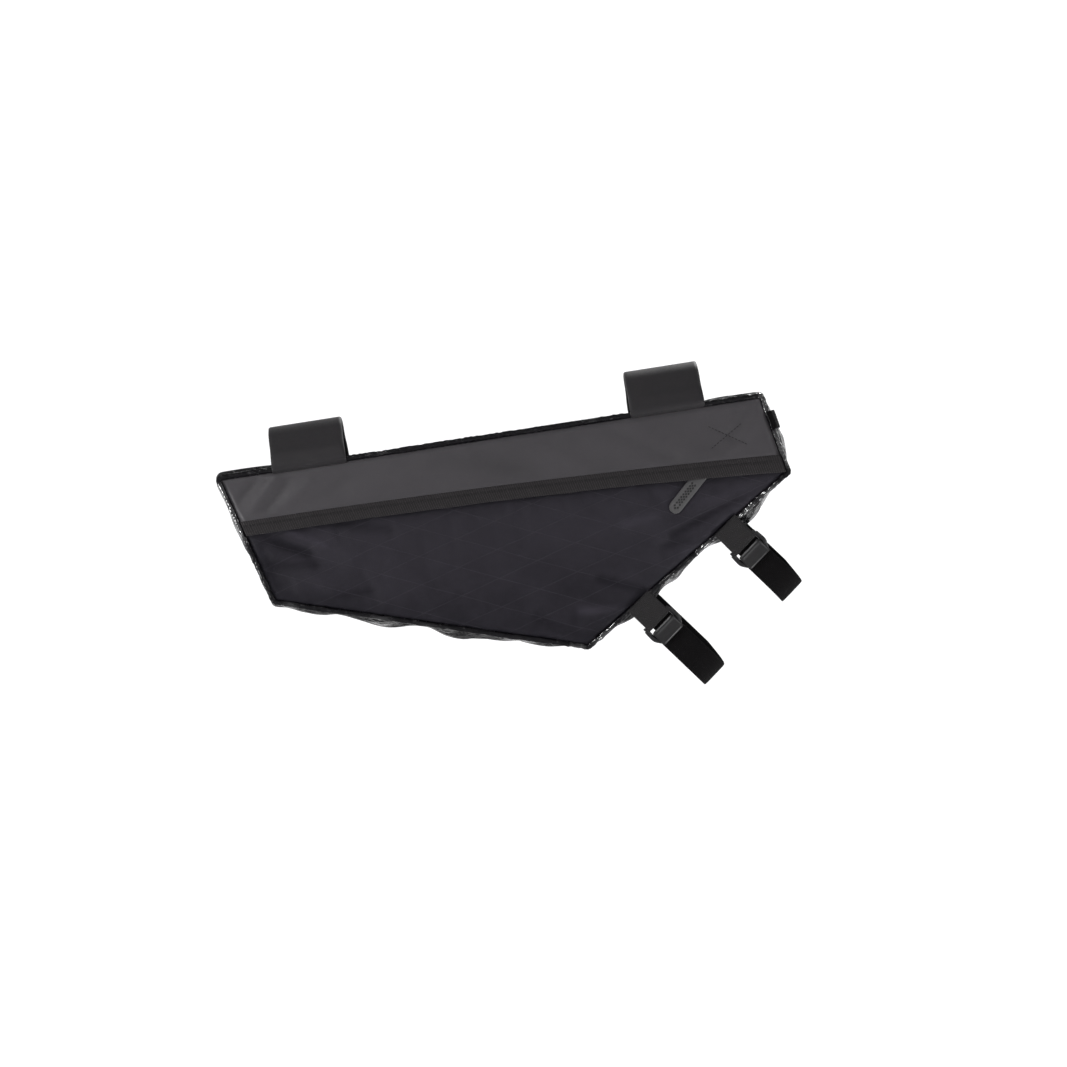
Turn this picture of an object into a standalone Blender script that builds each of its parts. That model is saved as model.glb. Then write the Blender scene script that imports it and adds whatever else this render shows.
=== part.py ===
# Bicycle frame bag: a five-sided pouch that hangs under a top tube by two wide straps,
# with two narrow webbing straps that go round the down tube.
#
# Metres, +Z up. The origin is on the top tube's axis, midway between the two wide straps.
# The bag is drawn in its own frame, turned by the top tube's slope: +X forward along the
# tube, +Y towards the far side, +Z up from the tube. The near side faces -Y.

import bpy
import bmesh
from math import acos, atan2, cos, exp, hypot, pi, radians, sin, sqrt

# The tubes that the bag is strapped to
top_tube_slope = radians(8.87)
top_tube_radius = 0.0159
down_tube_angle = radians(39.7)
down_tube_radius = 0.0210
tube_clearance = 0.0003

# The bag body
bag_length = 0.402
bag_depth = 0.1595
seam_drop = 0.0105
origin_share = 0.485
seam_width = 0.056
corner_radius = 0.0038
wall = 0.0014
seam_gap = 0.0003
near_crown = 0.0046
far_crown = 0.0036
crown_run = 0.020

# The piping in the seams
piping_radius = 0.0020

# The flap over the zip, and the ribbed hem along its lower edge
hem_share_rear = 0.210
hem_share_gain = 0.075
hem_width = 0.0107
hem_flare = 0.0022
hem_thickness = 0.0022
hem_overlap = 0.0045
flap_clearance = 0.0007
zip_width = 0.0095
zip_thickness = 0.0016

# The rubber zip puller: its lower end's place as shares of the bag's length and depth
puller_width = 0.009
puller_length = 0.037
puller_thickness = 0.0016
puller_angle = radians(43.0)
puller_share = 0.793
puller_drop_share = 0.442

# The wide straps over the top tube, set in from the bag's top corners
top_strap_width = 0.051
top_strap_thickness = 0.0028
top_strap_rear_inset = 0.0672
top_strap_front_inset = 0.0684
top_strap_lap = 0.0042

# The webbing straps round the down tube
webbing_width = 0.0200
webbing_thickness = 0.0014
webbing_lean = radians(2.2)
webbing_far_shift = 0.005
tail_length = 0.0200

# The strap adjusters
plate_length = 0.0126
plate_width = 0.0188
plate_thickness = 0.0034
adjuster_gap = 0.0016
rail_radius = 0.0012
rail_bow = 0.0022

# The gap between the seam and the down tube at each of its straps
upper_tube_gap = 0.0237
lower_tube_gap = 0.0321

# The down tube straps: where each one is sewn along the front lower edge, from the front tip
#    name     edge share  tube gap
down_tube_straps = [
    ("upper", 0.312,      upper_tube_gap),
    ("lower", 0.744,      lower_tube_gap),
]

# The webbing tab across the front gusset
tab_width = 0.0135
tab_share = 0.33
tab_thickness = 0.0012
tab_ease = 0.0008

# How fine the meshes are
body_columns = 34
panel_rows = 9
gusset_rows = 8
outline_step = 0.0135

# Worked out: how far panels stay inside the seams, and how far the flap stands out
panel_inset = piping_radius + seam_gap
flap_lift = wall / 2 + flap_clearance + hem_thickness / 2
puller_out = max(wall, zip_thickness) / 2 + seam_gap + puller_thickness / 2

# Corners of the side panels: shares of the bag's length and of its depth
#            name           along   down
corners = [
    ("rear_top",            0.000, 0.000),
    ("front_top",           0.973, 0.009),
    ("front_tip",           1.000, 0.367),
    ("bottom_tip",          0.602, 1.000),
    ("rear_bottom",         0.065, 0.586),
]

# Each edge runs from one corner to the next
top_edge, front_edge, front_lower_edge, bottom_edge, rear_edge = range(len(corners))

# How far the gusset swells past each edge of the outline, as shares of the seam width,
# at a quarter, a half and three quarters of the way along the edge
#    edge                quarter  half   three quarters
gusset_swell = {
    top_edge:           (0.016, 0.010, 0.016),
    front_edge:         (0.080, 0.095, 0.085),
    front_lower_edge:   (0.125, 0.068, 0.088),
    bottom_edge:        (0.072, 0.078, 0.070),
    rear_edge:          (0.078, 0.086, 0.066),
}
corner_swell = 0.042

# Crumples of the gusset: place along the edge, reach along it and depth, the last two as
# shares of the seam width, and the place across from the near seam (0) to the far one (1)
#    edge              along  reach  depth  across
crumples = [
    (front_edge,       0.30,  0.16, -0.020, 0.35),
    (front_edge,       0.72,  0.14,  0.016, 0.60),
    (front_lower_edge, 0.10,  0.14, -0.030, 0.30),
    (front_lower_edge, 0.20,  0.12,  0.026, 0.25),
    (front_lower_edge, 0.42,  0.16, -0.034, 0.30),
    (front_lower_edge, 0.58,  0.14,  0.028, 0.35),
    (front_lower_edge, 0.88,  0.14, -0.028, 0.40),
    (bottom_edge,      0.20,  0.20, -0.022, 0.30),
    (bottom_edge,      0.42,  0.26,  0.046, 0.42),
    (bottom_edge,      0.53,  0.18, -0.030, 0.35),
    (bottom_edge,      0.65,  0.24,  0.042, 0.40),
    (bottom_edge,      0.80,  0.20, -0.026, 0.30),
    (rear_edge,        0.30,  0.16, -0.024, 0.35),
    (rear_edge,        0.66,  0.14,  0.018, 0.60),
]
crumple_span = 0.28

# Soft folds of the near side: shares of the bag's length and depth for both ends,
# then rise and half width as shares of the crown and of the depth
#    along  down   along  down   rise   half width
near_folds = [
    (0.985, 0.400, 0.870, 0.500, 0.30, 0.045),
    (0.960, 0.480, 0.840, 0.600, -0.28, 0.040),
    (0.900, 0.430, 0.780, 0.470, -0.22, 0.045),
    (0.790, 0.660, 0.700, 0.600, 0.22, 0.050),
    (0.640, 0.930, 0.600, 0.780, 0.26, 0.050),
    (0.700, 0.820, 0.600, 0.700, -0.18, 0.055),
    (0.100, 0.330, 0.180, 0.470, -0.26, 0.040),
    (0.160, 0.300, 0.220, 0.430, 0.22, 0.040),
    (0.090, 0.560, 0.200, 0.500, 0.20, 0.045),
    (0.020, 0.060, 0.110, 0.190, -0.26, 0.035),
    (0.060, 0.030, 0.150, 0.160, 0.18, 0.035),
    (0.470, 0.070, 0.560, 0.190, -0.12, 0.050),
]


def corner_point(name):
    row = next(entry for entry in corners if entry[0] == name)
    return along_to_x(row[1]), down_to_z(row[2])


def along_to_x(share):
    return (share - origin_share) * bag_length


def down_to_z(share):
    return -seam_drop - share * bag_depth


# The outline, its edges and what is measured from them

def outline_corners(inset):
    """Corners of the outline moved inwards by inset, in the table's order."""
    points = [corner_point(name) for name, _along, _down in corners]
    lines = []
    for index, start in enumerate(points):
        end = points[(index + 1) % len(points)]
        size = hypot(end[0] - start[0], end[1] - start[1])
        direction = ((end[0] - start[0]) / size, (end[1] - start[1]) / size)
        outward = (-direction[1], direction[0])
        shifted = (start[0] - outward[0] * inset, start[1] - outward[1] * inset)
        lines.append((shifted, direction))
    moved = []
    for index in range(len(lines)):
        (px, pz), (dx, dz) = lines[index - 1]
        (qx, qz), (ex, ez) = lines[index]
        reach = ((qx - px) * ez - (qz - pz) * ex) / (dx * ez - dz * ex)
        moved.append((px + dx * reach, pz + dz * reach))
    return moved


def outline_edges(inset=0.0):
    """Start, direction, outward normal and length of each edge."""
    points = outline_corners(inset)
    edges = []
    for index, start in enumerate(points):
        end = points[(index + 1) % len(points)]
        size = hypot(end[0] - start[0], end[1] - start[1])
        direction = ((end[0] - start[0]) / size, (end[1] - start[1]) / size)
        edges.append((start, direction, (-direction[1], direction[0]), size))
    return edges


def edge_depths(x, z):
    """How deep a point lies inside each edge of the outline."""
    depths = []
    for start, _direction, outward, _size in outline_edges():
        depths.append(-((x - start[0]) * outward[0] + (z - start[1]) * outward[1]))
    return depths


def side_x(edge_number, z, inset):
    """Where an edge of the inset outline stands at height z."""
    start, direction, _outward, _size = outline_edges(inset)[edge_number]
    return start[0] + direction[0] * (z - start[1]) / direction[1]


def rounded_outline(step):
    """Stations round the outline with rounded corners: point, outward normal, edge, share."""
    edges = outline_edges()
    stations = []
    for index, (start, direction, outward, size) in enumerate(edges):
        before = edges[index - 1]
        turn_in = atan2(before[2][1], before[2][0])
        turn_out = atan2(outward[1], outward[0])
        turn = (turn_out - turn_in + pi) % (2 * pi) - pi
        setback = corner_radius * sin(abs(turn) / 2) / cos(abs(turn) / 2)
        centre = (start[0] + direction[0] * setback - outward[0] * corner_radius,
                  start[1] + direction[1] * setback - outward[1] * corner_radius)
        for part in range(4):
            angle = turn_in + turn * part / 4
            normal = (cos(angle), sin(angle))
            point = (centre[0] + normal[0] * corner_radius, centre[1] + normal[1] * corner_radius)
            stations.append((point, normal, index, 0.0))
        after = edges[(index + 1) % len(edges)]
        next_turn = atan2(after[2][1], after[2][0]) - turn_out
        next_turn = (next_turn + pi) % (2 * pi) - pi
        next_setback = corner_radius * sin(abs(next_turn) / 2) / cos(abs(next_turn) / 2)
        run = size - setback - next_setback
        count = max(4, round(run / step))
        for part in range(count):
            reach = setback + run * part / count
            point = (start[0] + direction[0] * reach, start[1] + direction[1] * reach)
            stations.append((point, outward, index, part / count))
    return stations


# The shape of the near and far sides

def crown_at(x, z, height):
    """Swell of a side panel, zero on the outline and full away from it."""
    swell = height
    for depth in edge_depths(x, z):
        swell *= 1 - exp(-max(depth, 0.0) / crown_run)
    return swell


def fold_at(x, z):
    """Rise of the soft folds of the near side."""
    rise = 0.0
    for along_a, down_a, along_b, down_b, height, spread in near_folds:
        ax, az = along_to_x(along_a), down_to_z(down_a)
        bx, bz = along_to_x(along_b), down_to_z(down_b)
        length_squared = (bx - ax) ** 2 + (bz - az) ** 2
        share = ((x - ax) * (bx - ax) + (z - az) * (bz - az)) / length_squared
        share = min(max(share, 0.0), 1.0)
        away = hypot(x - ax - share * (bx - ax), z - az - share * (bz - az))
        rise += height * near_crown * exp(-(away / (spread * bag_depth)) ** 2)
    edge = min(edge_depths(x, z))
    return rise * (1 - exp(-max(edge, 0.0) / (crown_run / 2)))


def near_side_y(x, z):
    """The near panel's middle surface."""
    return -(seam_width / 2 + crown_at(x, z, near_crown) + fold_at(x, z))


def hem_top_z(x):
    share = x / bag_length + origin_share
    return down_to_z(hem_share_rear + hem_share_gain * share * share)


def hem_bottom_z(x):
    share = x / bag_length + origin_share
    return hem_top_z(x) - hem_width - hem_flare * share ** 4


def panel_top_z(x):
    return hem_bottom_z(x) + hem_overlap


def puller_end():
    """The lower end of the zip puller, on the near side."""
    return along_to_x(puller_share), down_to_z(puller_drop_share)


def puller_bump(x, z):
    """The flap stands further out where the zip puller passes under it."""
    end_x, end_z = puller_end()
    middle_x = end_x + puller_length * 0.75 * cos(puller_angle)
    middle_z = end_z + puller_length * 0.75 * sin(puller_angle)
    away = hypot(x - middle_x, z - middle_z)
    needed = puller_out + puller_thickness / 2 + seam_gap + hem_thickness / 2
    return max(0.0, needed - flap_lift) * exp(-(away / (2.2 * puller_width)) ** 4)


# Mesh helpers

def new_object(name, mesh, collection, material, parent):
    item = bpy.data.objects.new(name, mesh)
    collection.objects.link(item)
    item.data.materials.append(material)
    item.parent = parent
    return item


def solidify(item, thickness):
    shell = item.modifiers.new("wall", "SOLIDIFY")
    shell.thickness = thickness
    shell.offset = 0.0
    return shell


def grid_mesh(name, columns, rows, point_at):
    """A grid whose points come from a function of two shares, smooth-shaded."""
    builder = bmesh.new()
    bmesh.ops.create_grid(builder, x_segments=columns, y_segments=rows, size=0.5)
    for vertex in builder.verts:
        vertex.co = point_at(vertex.co.x + 0.5, vertex.co.y + 0.5)
    mesh = bpy.data.meshes.new(name)
    builder.to_mesh(mesh)
    builder.free()
    mesh.shade_smooth()
    return mesh


def ring_mesh(name, rings, closed):
    """A ribbon through rows of points; closed joins the last row to the first."""
    builder = bmesh.new()
    rows = [[builder.verts.new(point) for point in ring] for ring in rings]
    pairs = list(zip(rows, rows[1:]))
    if closed:
        pairs.append((rows[-1], rows[0]))
    for first, second in pairs:
        for index in range(len(first) - 1):
            builder.faces.new((first[index], second[index], second[index + 1], first[index + 1]))
    mesh = bpy.data.meshes.new(name)
    builder.to_mesh(mesh)
    builder.free()
    mesh.shade_smooth()
    return mesh


def make_material(name, colour, roughness, metallic=0.0):
    material = bpy.data.materials.new(name)
    material.use_nodes = True
    shader = material.node_tree.nodes["Principled BSDF"]
    shader.inputs["Base Color"].default_value = (*colour, 1.0)
    shader.inputs["Roughness"].default_value = roughness
    shader.inputs["Metallic"].default_value = metallic
    return material


# The side panels

def between(upper, lower, across, down):
    """A point between two boundary curves, by its shares across and down."""
    top, bottom = upper(across), lower(across)
    return (top[0] + (bottom[0] - top[0]) * down, top[1] + (bottom[1] - top[1]) * down)


def line_across(height_at, inset):
    """A curve from the rear edge to the front edge at the height that a function gives."""
    def curve(share):
        rear_x = side_x(rear_edge, height_at(corner_point("rear_bottom")[0]), inset)
        front_x = side_x(front_edge, height_at(corner_point("front_tip")[0]), inset)
        x = rear_x + (front_x - rear_x) * share
        return x, height_at(x)
    return curve


def top_edge_curve(inset):
    points = outline_corners(inset)
    def curve(share):
        x = points[0][0] + (points[1][0] - points[0][0]) * share
        z = points[0][1] + (points[1][1] - points[0][1]) * share
        return x, z
    return curve


def bottom_edge_curve(inset):
    """Along the bottom from the rear corner, round the bottom tip and up to the front tip."""
    points = outline_corners(inset)
    rear, tip, front = points[4], points[3], points[2]
    tip_share = 0.55
    def curve(share):
        if share < tip_share:
            part = share / tip_share
            return rear[0] + (tip[0] - rear[0]) * part, rear[1] + (tip[1] - rear[1]) * part
        part = (share - tip_share) / (1 - tip_share)
        return tip[0] + (front[0] - tip[0]) * part, tip[1] + (front[1] - tip[1]) * part
    return curve


def pull_in_corner(x, z, inset):
    """Keep a panel's corner inside the rounded piping."""
    radius = corner_radius - inset
    points = outline_corners(inset)
    edges = outline_edges(inset)
    for index, corner in enumerate(points):
        before, after = edges[index - 1], edges[index]
        turn = acos(before[1][0] * after[1][0] + before[1][1] * after[1][1])
        setback = radius * sin(turn / 2) / cos(turn / 2)
        centre = (corner[0] + after[1][0] * setback - after[2][0] * radius,
                  corner[1] + after[1][1] * setback - after[2][1] * radius)
        away = hypot(x - corner[0], z - corner[1])
        from_centre = hypot(x - centre[0], z - centre[1])
        if away < setback and from_centre > radius:
            return (centre[0] + (x - centre[0]) * radius / from_centre,
                    centre[1] + (z - centre[1]) * radius / from_centre)
    return x, z


def make_near_panel(collection, material, parent):
    upper = line_across(panel_top_z, panel_inset)
    lower = bottom_edge_curve(panel_inset)

    def point_at(across, down):
        x, z = pull_in_corner(*between(upper, lower, across, down), panel_inset)
        return x, near_side_y(x, z), z

    mesh = grid_mesh("near_panel", body_columns, panel_rows, point_at)
    panel = new_object("near_panel", mesh, collection, material, parent)
    solidify(panel, wall)


def make_upper_band(collection, material, parent):
    upper = top_edge_curve(panel_inset)
    lower = line_across(hem_top_z, panel_inset)

    def point_at(across, down):
        x, z = pull_in_corner(*between(upper, lower, across, down), panel_inset)
        out = flap_lift * down ** 1.5 + puller_bump(x, z)
        return x, near_side_y(x, z) - out, z + seam_gap * down

    mesh = grid_mesh("upper_band", body_columns, 4, point_at)
    band = new_object("upper_band", mesh, collection, material, parent)
    solidify(band, wall)


def make_flap_hem(collection, material, parent):
    upper = line_across(hem_top_z, panel_inset)
    lower = line_across(hem_bottom_z, panel_inset)

    def point_at(across, down):
        x, z = between(upper, lower, across, down)
        out = flap_lift + puller_bump(x, z)
        return x, near_side_y(x, z) - out, z - seam_gap * (1 - down)

    mesh = grid_mesh("flap_hem", body_columns, 2, point_at)
    hem = new_object("flap_hem", mesh, collection, material, parent)
    solidify(hem, hem_thickness)


def make_zip(collection, material, parent):
    lower = line_across(lambda x: panel_top_z(x) + 2 * seam_gap, panel_inset + seam_gap)
    upper = line_across(lambda x: panel_top_z(x) + zip_width, panel_inset + seam_gap)

    def point_at(across, down):
        x, z = between(upper, lower, across, down)
        return x, near_side_y(x, z), z

    mesh = grid_mesh("zip", body_columns, 1, point_at)
    item = new_object("zip", mesh, collection, material, parent)
    solidify(item, zip_thickness)


def make_zip_puller(collection, material, parent):
    """A flat rubber tab with a round lower end, lying on the panel."""
    end_x, end_z = puller_end()
    half = puller_width / 2
    rings = []
    for index in range(13):
        reach = puller_length * (index / 12) ** 1.4
        short = max(0.0, 1 - (reach + 0.12 * half) / half)
        half_width = half * sqrt(1 - short * short)
        ring = []
        for side in (-1, 0, 1):
            x = end_x + (reach - half) * cos(puller_angle) - side * half_width * sin(puller_angle)
            z = end_z + (reach - half) * sin(puller_angle) + side * half_width * cos(puller_angle)
            ring.append((x, near_side_y(x, z) - puller_out, z))
        rings.append(ring)
    mesh = ring_mesh("zip_puller", rings, closed=False)
    puller = new_object("zip_puller", mesh, collection, material, parent)
    solidify(puller, puller_thickness)


def make_far_panel(collection, material, parent):
    upper = top_edge_curve(panel_inset)
    lower = bottom_edge_curve(panel_inset)

    def point_at(across, down):
        x, z = pull_in_corner(*between(upper, lower, across, down), panel_inset)
        return x, seam_width / 2 + crown_at(x, z, far_crown), z

    mesh = grid_mesh("far_panel", body_columns, panel_rows, point_at)
    panel = new_object("far_panel", mesh, collection, material, parent)
    solidify(panel, wall)


# The piping and the gusset between the seams

def make_piping(name, side, collection, material, parent):
    stations = rounded_outline(outline_step)
    curve = bpy.data.curves.new(name, "CURVE")
    curve.dimensions = "3D"
    curve.bevel_depth = piping_radius
    curve.bevel_resolution = 1
    spline = curve.splines.new("POLY")
    spline.points.add(len(stations) - 1)
    for point, (place, _normal, _edge, _share) in zip(spline.points, stations):
        point.co = (place[0], side * seam_width / 2, place[1], 1.0)
    spline.use_cyclic_u = True
    new_object(name, curve, collection, material, parent)


def swell_at(edge, share):
    """How far the gusset's middle stands past the outline."""
    quarter, half, three_quarters = gusset_swell[edge]
    stops = [corner_swell, quarter, half, three_quarters, corner_swell]
    place = share * 4
    index = min(int(place), 3)
    blend = (1 - cos(pi * (place - index))) / 2
    return (stops[index] * (1 - blend) + stops[index + 1] * blend) * seam_width


def crumple_at(edge, share, across, edge_length):
    rise = 0.0
    for row_edge, place, reach, depth, row_across in crumples:
        if row_edge != edge:
            continue
        along = (share - place) * edge_length / (reach * seam_width)
        over = (across - row_across) / crumple_span
        rise += depth * seam_width * exp(-along * along - over * over)
    return rise


def below_top_tube(y, z):
    """The tube presses the top of the bag down where they meet."""
    reach = top_tube_radius + tube_clearance + wall / 2
    if abs(y) >= reach:
        return z
    return min(z, -sqrt(reach * reach - y * y))


def gusset_point(station, across):
    """A point of the gusset's middle surface, from the near seam (0) to the far one (1)."""
    place, normal, edge, share = station
    edge_length = outline_edges()[edge][3]
    half = seam_width / 2 - piping_radius - seam_gap
    side = 2 * across - 1
    out = swell_at(edge, share) * (1 - abs(side) ** 2.4)
    fade = (1 - side * side) * sin(pi * share) ** 0.5 if share > 0 else 0.0
    out += crumple_at(edge, share, across, edge_length) * fade
    x = place[0] + normal[0] * out
    z = place[1] + normal[1] * out
    y = side * half
    return x, y, below_top_tube(y, z)


def make_gusset(collection, material, parent):
    rings = []
    for station in rounded_outline(outline_step):
        rings.append([gusset_point(station, row / gusset_rows) for row in range(gusset_rows + 1)])
    mesh = ring_mesh("gusset", rings, closed=True)
    gusset = new_object("gusset", mesh, collection, material, parent)
    solidify(gusset, wall)


def make_front_tab(collection, material, parent):
    """Webbing sewn across the front gusset, over both lines of piping."""
    start, direction, outward, size = outline_edges()[front_edge]
    clear = seam_gap + tab_thickness / 2
    over_piping = piping_radius + clear
    over_gusset = wall / 2 + clear + tab_ease
    rings = []
    for side in (-1, 0, 1):
        share = tab_share + side * tab_width / 2 / size
        place = (start[0] + direction[0] * size * share, start[1] + direction[1] * size * share)
        near_end, far_end = [], []
        for turn in (radians(100), radians(70), radians(35)):
            out, aside = over_piping * cos(turn), seam_width / 2 + over_piping * sin(turn)
            x, z = place[0] + outward[0] * out, place[1] + outward[1] * out
            near_end.append((x, -aside, z))
            far_end.insert(0, (x, aside, z))
        middle = []
        for across in (0.12, 0.25, 0.40, 0.50, 0.60, 0.75, 0.88):
            x, y, z = gusset_point((place, outward, front_edge, share), across)
            middle.append((x + outward[0] * over_gusset, y, z + outward[1] * over_gusset))
        rings.append(near_end + middle + far_end)
    mesh = ring_mesh("front_tab", rings, closed=False)
    tab = new_object("front_tab", mesh, collection, material, parent)
    solidify(tab, tab_thickness)


# The straps

def seam_to_tube(seam_x, tube_x, bend, radius, lap):
    """The near half of a strap's section: a lap on the side panel, round the piping, straight
    to the tube and round it to its far middle. Points are (x, y), x away from the bag and y
    towards the far side, with the lean of the straight run's outward normal."""
    seam_y = seam_width / 2
    lean = (acos((radius - bend) / hypot(seam_x - tube_x, seam_y))
            + atan2(-seam_y, seam_x - tube_x))
    points = [(seam_x - lap, -seam_y - bend)]
    for part in range(3):
        turn = -pi / 2 + (lean + pi / 2) * part / 2
        points.append((seam_x + bend * cos(turn), -seam_y + bend * sin(turn)))
    touch = (tube_x + radius * cos(lean), radius * sin(lean))
    last = points[-1]
    for share in (0.33, 0.67):
        points.append((last[0] + (touch[0] - last[0]) * share,
                       last[1] + (touch[1] - last[1]) * share))
    for part in range(7):
        turn = lean * (1 - part / 6)
        points.append((tube_x + radius * cos(turn), radius * sin(turn)))
    return points, lean


def make_top_strap(name, centre_x, collection, material, parent):
    """Up the near seam, over the piping, round the top tube and down to the far seam."""
    bend = piping_radius + seam_gap + top_strap_thickness / 2
    radius = top_tube_radius + tube_clearance + top_strap_thickness / 2
    half, _lean = seam_to_tube(down_to_z(0.0), 0.0, bend, radius, top_strap_lap)
    profile = half + [(z, -y) for z, y in reversed(half[:-1])]
    rings = []
    for share in (-0.5, 0.0, 0.5):
        x = share * top_strap_width
        rings.append([(x, y, z) for z, y in profile])
    mesh = ring_mesh(name, rings, closed=False)
    strap = new_object(name, mesh, collection, material, parent)
    strap.location.x = centre_x
    solidify(strap, top_strap_thickness)


def strap_root(edge_share):
    """A strap's root on the edge from the front tip to the bottom tip."""
    start, direction, _outward, size = outline_edges()[front_lower_edge]
    return start[0] + direction[0] * size * edge_share, start[1] + direction[1] * size * edge_share


def strap_line(tube_reach):
    """The near half of a down tube strap, with where its straight run starts and heads."""
    bend = piping_radius + seam_gap + webbing_thickness / 2
    radius = down_tube_radius + tube_clearance + webbing_thickness / 2
    half, lean = seam_to_tube(0.0, tube_reach, bend, radius, piping_radius * 0.9)
    return half, half[3], (-sin(lean), cos(lean))


def ribbon(name, path, collection, material, parent):
    """A webbing strip along (x, y, z shift) points, its width along the strap frame's Z."""
    rings = []
    for side in (-0.5, 0.0, 0.5):
        rings.append([(x, y, shift + side * webbing_width) for x, y, shift in path])
    mesh = ring_mesh(name, rings, closed=False)
    strip = new_object(name, mesh, collection, material, parent)
    solidify(strip, webbing_thickness)


def make_strap_tail(name, tube_reach, collection, material, parent):
    """A short webbing tail, folded back round the adjuster's bar."""
    half, start, direction = strap_line(tube_reach)
    inward = (-direction[1], direction[0])
    bend = rail_radius + seam_gap + webbing_thickness / 2
    run = tail_length - bend - webbing_thickness / 2
    path = [(x, y, 0.0) for x, y in half[:4]]
    for part in (1, 2):
        reach = run * part / 2
        path.append((start[0] + direction[0] * reach, start[1] + direction[1] * reach, 0.0))
    bar = (path[-1][0] + inward[0] * bend, path[-1][1] + inward[1] * bend)
    for part in range(1, 7):
        turn = pi * part / 6
        along, back = bend * sin(turn), bend * cos(turn)
        path.append((bar[0] + direction[0] * along - inward[0] * back,
                     bar[1] + direction[1] * along - inward[1] * back, 0.0))
    last = path[-1]
    for part in (1, 2):
        reach = run * 0.2 * part
        path.append((last[0] - direction[0] * reach, last[1] - direction[1] * reach, 0.0))
    ribbon(name, path, collection, material, parent)


def make_tube_strap(name, tube_reach, collection, material, parent):
    """From behind the adjuster's plate, round the down tube and back to the far seam."""
    half, start, direction = strap_line(tube_reach)
    plate_start = tail_length + adjuster_gap
    behind = plate_thickness / 2 + seam_gap + webbing_thickness / 2
    inward = (-direction[1], direction[0])
    path = []
    for share in (0.2, 1.0):
        reach = plate_start + plate_length * share
        path.append((start[0] + direction[0] * reach + inward[0] * behind,
                     start[1] + direction[1] * reach + inward[1] * behind, 0.0))
    path += [(x, y, 0.0) for x, y in half[7:]]
    far_half = list(reversed(half[:-1]))
    for index, (x, y) in enumerate(far_half):
        path.append((x, -y, webbing_far_shift * (index + 1) / len(far_half)))
    ribbon(name, path, collection, material, parent)


def make_adjuster(name, tube_reach, collection, cutters, material, parent):
    """A flat plate with two bowed rails that carry the bar for the webbing tail."""
    _half, start, direction = strap_line(tube_reach)
    middle = tail_length + adjuster_gap + plate_length / 2
    bend = rail_radius + seam_gap + webbing_thickness / 2
    bar_reach = tail_length - bend - webbing_thickness / 2 - middle

    builder = bmesh.new()
    bmesh.ops.create_cube(builder, size=1.0)
    bmesh.ops.scale(builder, vec=(plate_length, plate_thickness, plate_width), verts=builder.verts)
    bmesh.ops.bevel(builder, geom=builder.edges[:], offset=plate_thickness * 0.3, segments=2,
                    profile=0.5, affect="EDGES")
    mesh = bpy.data.meshes.new(name)
    builder.to_mesh(mesh)
    builder.free()
    plate = new_object(name, mesh, collection, material, parent)
    plate.location = (start[0] + direction[0] * middle, start[1] + direction[1] * middle, 0.0)
    plate.rotation_euler.z = atan2(direction[1], direction[0])

    rail_side = webbing_width / 2 + seam_gap + rail_radius
    half_rail = [
        (plate_length * 0.30, plate_width / 2 - rail_radius * 0.9),
        (plate_length * 0.14, plate_width / 2 + rail_bow * 0.45),
        (plate_length * -0.14, rail_side + rail_bow * 0.42),
        (plate_length * -0.44, rail_side + rail_bow * 0.50),
        (bar_reach * 0.82, rail_side + rail_bow * 0.22),
        (bar_reach * 0.97, rail_side * 0.99),
        (bar_reach, rail_side * 0.93),
    ]
    points = half_rail + [(x, -z) for x, z in reversed(half_rail)]
    curve = bpy.data.curves.new(name + "_rails", "CURVE")
    curve.dimensions = "3D"
    curve.bevel_depth = rail_radius
    curve.bevel_resolution = 2
    curve.use_fill_caps = True
    spline = curve.splines.new("POLY")
    spline.points.add(len(points) - 1)
    for point, (x, z) in zip(spline.points, points):
        back = bend if x < -plate_length * 0.5 else bend * (plate_length * 0.5 - x) / plate_length
        point.co = (x, back, z, 1.0)
    rails_curve = bpy.data.objects.new(name + "_rails_curve", curve)
    cutters.objects.link(rails_curve)
    evaluated = rails_curve.evaluated_get(bpy.context.evaluated_depsgraph_get())
    rails_mesh = bpy.data.meshes.new_from_object(evaluated)
    bpy.data.objects.remove(rails_curve)
    welder = bmesh.new()
    welder.from_mesh(rails_mesh)
    bmesh.ops.remove_doubles(welder, verts=welder.verts, dist=0.00001)
    bmesh.ops.recalc_face_normals(welder, faces=welder.faces)
    welder.to_mesh(rails_mesh)
    welder.free()
    rails = bpy.data.objects.new(name + "_rails", rails_mesh)
    cutters.objects.link(rails)
    rails.parent = plate
    rails.hide_render = True
    rails.display_type = "WIRE"
    union = plate.modifiers.new("rails", "BOOLEAN")
    union.operation = "UNION"
    union.solver = "EXACT"
    union.object = rails


def make_down_tube_strap(place, edge_share, tube_gap, collection, cutters, materials, parent):
    """One strap: its frame runs +X away from the bag, nearly square to the down tube."""
    tube_reach = tube_gap + down_tube_radius
    frame = bpy.data.objects.new("strap_frame_" + place, None)
    collection.objects.link(frame)
    frame.parent = parent
    root_x, root_z = strap_root(edge_share)
    frame.location = (root_x, 0.0, root_z)
    frame.rotation_euler.y = pi / 2 - down_tube_angle + webbing_lean
    make_strap_tail("strap_tail_" + place, tube_reach, collection, materials["webbing"], frame)
    make_adjuster("adjuster_" + place, tube_reach, collection, cutters,
                  materials["buckle_plastic"], frame)
    make_tube_strap("tube_strap_" + place, tube_reach, collection, materials["webbing"], frame)


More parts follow.
